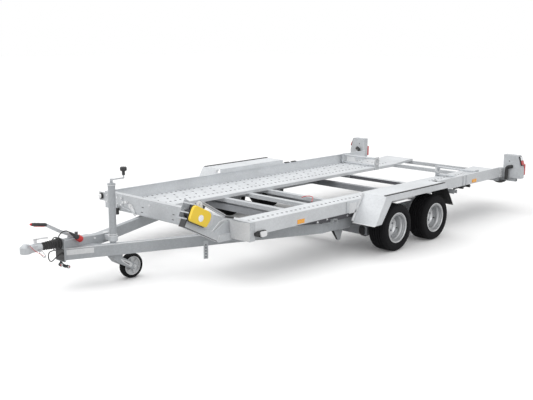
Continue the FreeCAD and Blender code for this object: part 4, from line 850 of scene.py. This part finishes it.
# %% Bed details
OFF_WALL, UNDER_BEAM_Y = 984.2, 950
BEAM_X, LAMP_X, LAMP_Y, BUFFER_X, BUFFER_Y = 2055, 2036, -1066, 2078, -764
walls, plates, trim, shade, lenses = (bmesh.new() for k in range(5))
bolts = []
for side in (1, -1):
    for x in (818, -1196, -1258):
        add_block(walls, x - 6, x + 6, side * BED_Y, side * 991, 404, 509)
    add_block(plates, 676, 780, side * OFF_WALL, side * 988, 396, 488)
    add_block(plates, -60, 300, side * 1128, side * 1132, 456, 505)
    add_block(plates, -2048, -1988, side * OFF_WALL, side * 998, 404, 512)
    add_outline(plates, [(566, 556), (713, 314), (744, 330), (598, 556)], side * 985.2, side * 988, "y")
    add_outline(plates, [(713, 308.5), (712, 305.5), (734, 303), (735, 306)], side * 986, side * 1239.5, "y")
    # The beam under the track is near black: painted shade in the gap under the wall.
    beam_side = [(540, 348), (1130, 352), (1330, 396), (1330, 401.5), (540, 401.5)]
    add_outline(shade, beam_side, side * 930, side * UNDER_BEAM_Y, "y")
    add_block(trim, -440, 556, side * 1207, side * 1229, 558.2, 565)
    for x in (-520, -640):
        add_block(trim, x - 36, x + 36, side * 958, side * 990, 515.2, 523)
    add_rod(trim, (-1050, side * 962, 390), (-1350, side * 962, 386), 10, 16)
    for x in (-1190, -1330):
        add_rod(trim, (x, side * 950, 386), (x, side * 992, 386), 17, 20)
    add_turned(trim, [(0, 0), (0, 72), (-8, 72), (-16, 62), (-27, 40), (-33, 18), (-34, 0)],
               (-2060, side * 955, 361.8), Z_AXIS, 32)
    base = rounded([(1884, 382), (1940, 376), (2006, 396), (2012, 424), (1970, 434), (1884, 434)], 12)
    add_outline(trim, base, side * OFF_WALL, side * 1003, "y")
    lens = rounded([(1890, 386), (1958, 383), (1966, 428), (1890, 430)], 18)
    add_outline(lenses, lens, side * 1003.2, side * 1020, "y")
    bolts += [((x, side * y, z), (0, side, 0)) for x, y, z in (
        (1051, UNDER_BEAM_Y, 382), (1180, UNDER_BEAM_Y, 376), (760, UNDER_BEAM_Y, 372),
        (-1080, BED_Y, 415), (-1320, BED_Y, 412), (-2012, 998, 496), (-2012, 998, 466), (-2012, 998, 434))]
# Dark patches on the front beam's face: painted shade in its slots.
for y, z in ((35, 437), (24, 389), (-402, 437), (-414, 389)):
    add_block(shade, 2054.8, 2055.6, y - 14, y + 14, z - 4, z + 4)
STOP_X, REAR_MEMBER_X = -1560.0, -1030.0
# Near-black face on the rear cross member: painted shade.
add_block(shade, REAR_MEMBER_X + 0.2, REAR_MEMBER_X + 1.0, -428, 428, 338, 371)
for side in (1, -1):
    # Dark disc on each lamp box: painted shade in its hole.
    add_rod(shade, (-2043.9, side * 1072, 593), (-2043.1, side * 1072, 593), 7, 20)
    add_turned(plates, [(-9, 28), (-9, 44), (9, 44), (9, 28)], (STOP_X, side * 433, 480), (0, side, 0), 32)
    add_block(plates, STOP_X - 2, STOP_X + 2, side * 760, side * 890, 438, 496)
add_block(walls, 2055.2, 2059, -980, 680, 366, 370)
add_block(walls, 2055.2, 2061, -978, -700, 398, 500)
add_rod(walls, (2066, -690, 398), (2066, -500, 372), 6, 12)
add_rod(trim, (BUFFER_X, BUFFER_Y, 322), (BUFFER_X, BUFFER_Y, 384), 18, 24)
add_rod(walls, (BUFFER_X, BUFFER_Y, 384), (BUFFER_X, BUFFER_Y, 408), 9, 16)
add_outline(plates, [(-606, 444), (-556, 444), (-496, 356), (-512, 336), (-540, 348), (-566, 392), (-606, 404)],
            2058, 2064)
add_outline(plates, rounded([(-712, 452), (-628, 470), (-612, 456), (-636, 440), (-700, 430)], 8), 2058, 2063)
bolts += [((2064, y, z), X_AXIS) for y, z in ((-584, 426), (-530, 372), (-640, 456), (-690, 444))]
bolts += [((2061, y, z), X_AXIS) for y in (-940, -860, -780, -720) for z in (480, 418)]
bolts += [((BEAM_X, y, 470), X_AXIS) for y in (400, -300)]
add_block(walls, LAMP_X - 6, LAMP_X, -1108, -BED_Y, 410, 492)
add_turned(trim, [(0, 0), (0, 30), (16, 30), (20, 26), (20, 0)], (LAMP_X, LAMP_Y, 455), X_AXIS, 32)
add_turned(lenses, [(20.2, 0), (20.2, 24), (26, 22), (29, 14), (30, 0)], (LAMP_X, LAMP_Y, 455), X_AXIS, 32)
# Bulged sheet on the near end of the front beam: the bulge catches the lamps, and its paler zinc adds painted
# highlight.
bulge = [(2055.4 + 24 * sin(pi * k / 16) ** 0.8, 738 + 244 * k / 16) for k in range(17)]
add_outline(bm, bulge + [(x - 2, y) for x, y in bulge[-2:0:-1]], 360, 511, "z")
finished("beam_end_sheet", bm, pale_zinc_and_highlight, "bed", smooth=60)
finished("bed_ribs", walls, galvanised, "bed", bevel=0.8)
finished("bed_plates", plates, pale_zinc_and_highlight, "bed", bevel=0.5)
finished("bed_trim", trim, soft_rubber, "bed", bevel=1.0)
finished("bed_shaded", shade, painted_shade_zinc, "bed", bevel=0.3)
finished("front_lenses", lenses, clear_lens, "bed", bevel=2.0, smooth=50)
placed_piece("bed_bolts", BOLT, bolts, bright_steel, "bed", size=8.5)
add_turned(bm, [(0, 0), (0, 8), (1.6, 7), (2, 0)], (BEAM_X, 116, 415), X_AXIS, 24)
finished("beam_spot", bm, amber_lens, "bed")
ribs = [(0, 0), (0, 56)] + [(5 + 6 * k, 62 if k % 2 else 54) for k in range(9)] + [(58, 56), (58, 0)]
for x in (WHEELBASE / 2 + 160, -WHEELBASE / 2 + 160):
    for side in (1, -1):
        add_turned(bm, ribs, (x, side * 916, 192), (0, side, 0), 40)
finished("axle_boots", bm, soft_rubber, "chassis", smooth=60)
hose = [(512, 176, 398), (486, 178, 404), (452, 192, 407), (434, 214, 407), (438, 246, 406), (468, 286, 405),
        (520, 326, 404), (566, 360, 402), (604, 387, 400)]
add_bent_rod(bm, hose, [4] * len(hose))
finished("red_hose", bm, red_plastic, "bed")
# Dark discs on the hanging strap: painted shade in its holes.
for z in (146, 172, 198, 224, 250):
    add_rod(bm, (2083, 484, z), (2085.1, 488.9, z), 6, 16)
finished("strap_holes", bm, painted_shade_zinc, "chassis")

# %% [markdown]
# Each lamp box at the rear gets its combined marker lamp on the leaning edge, with a clear lens above
# a red one, and a ribbed black conduit that climbs from the carrier and bends into the box.

# %% Rear lamps
CONDUIT_X, CONDUIT_Y = -2018, 1056
bodies, clear, red, conduit = (bmesh.new() for k in range(4))
for side in (1, -1):
    for bench, outline, rear, front in (
            (bodies, ((1179, 652), (1190, 656), (1222, 556), (1208, 548)), -2110, -2058),
            (clear, ((1190, 652), (1197, 653), (1211, 612), (1203, 609)), -2104, -2062),
            (red, ((1204, 606), (1212, 609), (1229, 562), (1220, 559)), -2106, -2056)):
        add_outline(bench, [(side * y, z) for y, z in outline], rear, front)
    route = [(CONDUIT_X, side * CONDUIT_Y, 384 + 6 * k) for k in range(20)]
    for turn in map(radians, range(12, 91, 13)):
        route.append((CONDUIT_X, side * (CONDUIT_Y + 30 * (1 - cos(turn))), 498 + 34 * sin(turn)))
    route += [(-2022, side * 1094, 533), (-2034, side * 1102, 534), (-2043.5, side * 1105, 534)]
    add_bent_rod(conduit, route, [20 if k % 2 else 17 for k in range(len(route))], 20)
finished("marker_bodies", bodies, black_plastic, "bed", ["marker_lamps"], bevel=2.0)
finished("marker_clear", clear, clear_lens, "bed", bevel=1.5)
finished("marker_red", red, red_lens, "bed", bevel=1.5)
finished("lamp_conduits", conduit, soft_rubber, "bed", smooth=60)

# %% [markdown]
# The floor is a plain pale sheet. Camera rays see it near white, so the picture keeps a white
# ground, and it still darkens softly where the trailer keeps the light off it.

# %% Floor and light
FLOOR_HALF, SHADE_GREY, FLOOR_WHITE, WHITE = 60, 0.36, 0.95, (1, 1, 1, 1)


def show_by_ray(tree, soft, straight, end_kind):
    """One shader for the soft light, and another for rays from the camera, a reflection or a clear lens."""
    rays = add_node(tree, "ShaderNodeLightPath")
    total, output = rays, "Is Camera Ray"
    for name in ("Is Glossy Ray", "Is Transmission Ray"):
        seen = add_node(tree, "ShaderNodeMath", operation="MAXIMUM")
        wire(tree, (total, output, seen, 0), (rays, name, seen, 1))
        total, output = seen, "Value"
    choice = add_node(tree, "ShaderNodeMixShader")
    wire(tree, (total, output, choice, "Fac"), (soft, 0, choice, 1), (straight, 0, choice, 2),
         (choice, "Shader", add_node(tree, end_kind), "Surface"))


def graded(tree, source, output, start, end, low, high):
    """Value that runs from low to high while the source runs from start to end."""
    made = add_node(tree, "ShaderNodeMapRange", {"From Min": start, "From Max": end, "To Min": low, "To Max": high})
    wire(tree, (source, output, made, "Value"))
    return made


def emptied_tree(owner):
    """Node tree of a material or a world, with nothing in it."""
    owner.use_nodes = True
    owner.node_tree.nodes.clear()
    return owner.node_tree


floor_material = bpy.data.materials.new("floor")
tree = emptied_tree(floor_material)
plain = add_node(tree, "ShaderNodeBsdfDiffuse", {"Color": (SHADE_GREY, SHADE_GREY, SHADE_GREY, 1)})
dull = add_node(tree, "ShaderNodeBsdfDiffuse", {"Color": (FLOOR_WHITE, FLOOR_WHITE, FLOOR_WHITE, 1)})
glow = add_node(tree, "ShaderNodeEmission", {"Color": WHITE})
away = add_node(tree, "ShaderNodeVectorMath", operation="LENGTH")
lifted = add_node(tree, "ShaderNodeAddShader")
wire(tree, (add_node(tree, "ShaderNodeTexCoord"), "Object", away, 0),
     (graded(tree, away, "Value", 3.5, 8.0, 0.05, 0.24), "Result", glow, "Strength"),
     (dull, 0, lifted, 0), (glow, 0, lifted, 1))
show_by_ray(tree, plain, lifted, "ShaderNodeOutputMaterial")
floor_mesh = bpy.data.meshes.new("floor")
floor_mesh.from_pydata([(FLOOR_HALF * x, FLOOR_HALF * y, 0) for x, y in ((-1, -1), (1, -1), (1, 1), (-1, 1))], [],
                       [(0, 1, 2, 3)])
floor_mesh.materials.append(floor_material)
floor = new_object("floor", floor_mesh)

world = bpy.data.worlds.new("studio")
bpy.context.scene.world = world
tree = emptied_tree(world)
white = add_node(tree, "ShaderNodeBackground", {"Color": WHITE})
fill = add_node(tree, "ShaderNodeBackground", {"Color": WHITE})
height = add_node(tree, "ShaderNodeSeparateXYZ")
wire(tree, (add_node(tree, "ShaderNodeTexCoord"), "Generated", height, "Vector"),
     (graded(tree, height, "Z", 0.0, 0.8, 0.52, 0.92), "Result", fill, "Strength"))
show_by_ray(tree, fill, white, "ShaderNodeOutputWorld")


def soft_lamp(name, place, aim, size, power):
    """Square area lamp that points at a place."""
    data = bpy.data.lights.new(name, "AREA")
    data.shape = "SQUARE"
    data.size = size
    data.energy = power
    lamp = new_object(name, data)
    lamp.location = place
    lamp.rotation_euler = (Vector(aim) - Vector(place)).to_track_quat("-Z", "Y").to_euler()


soft_lamp("overhead", (0.0, -1.0, 7.0), (0, 0, 0), 7.0, 150)
soft_lamp("front", (8.0, -2.5, 5.0), (1.0, 0, 0.4), 5.0, 200)
soft_lamp("side", (2.5, 9.0, 4.5), (0, 0, 0.4), 7.0, 180)
bpy.context.scene.view_settings.view_transform = "Standard"
print("floor and", len(bpy.data.lights), "lamps")
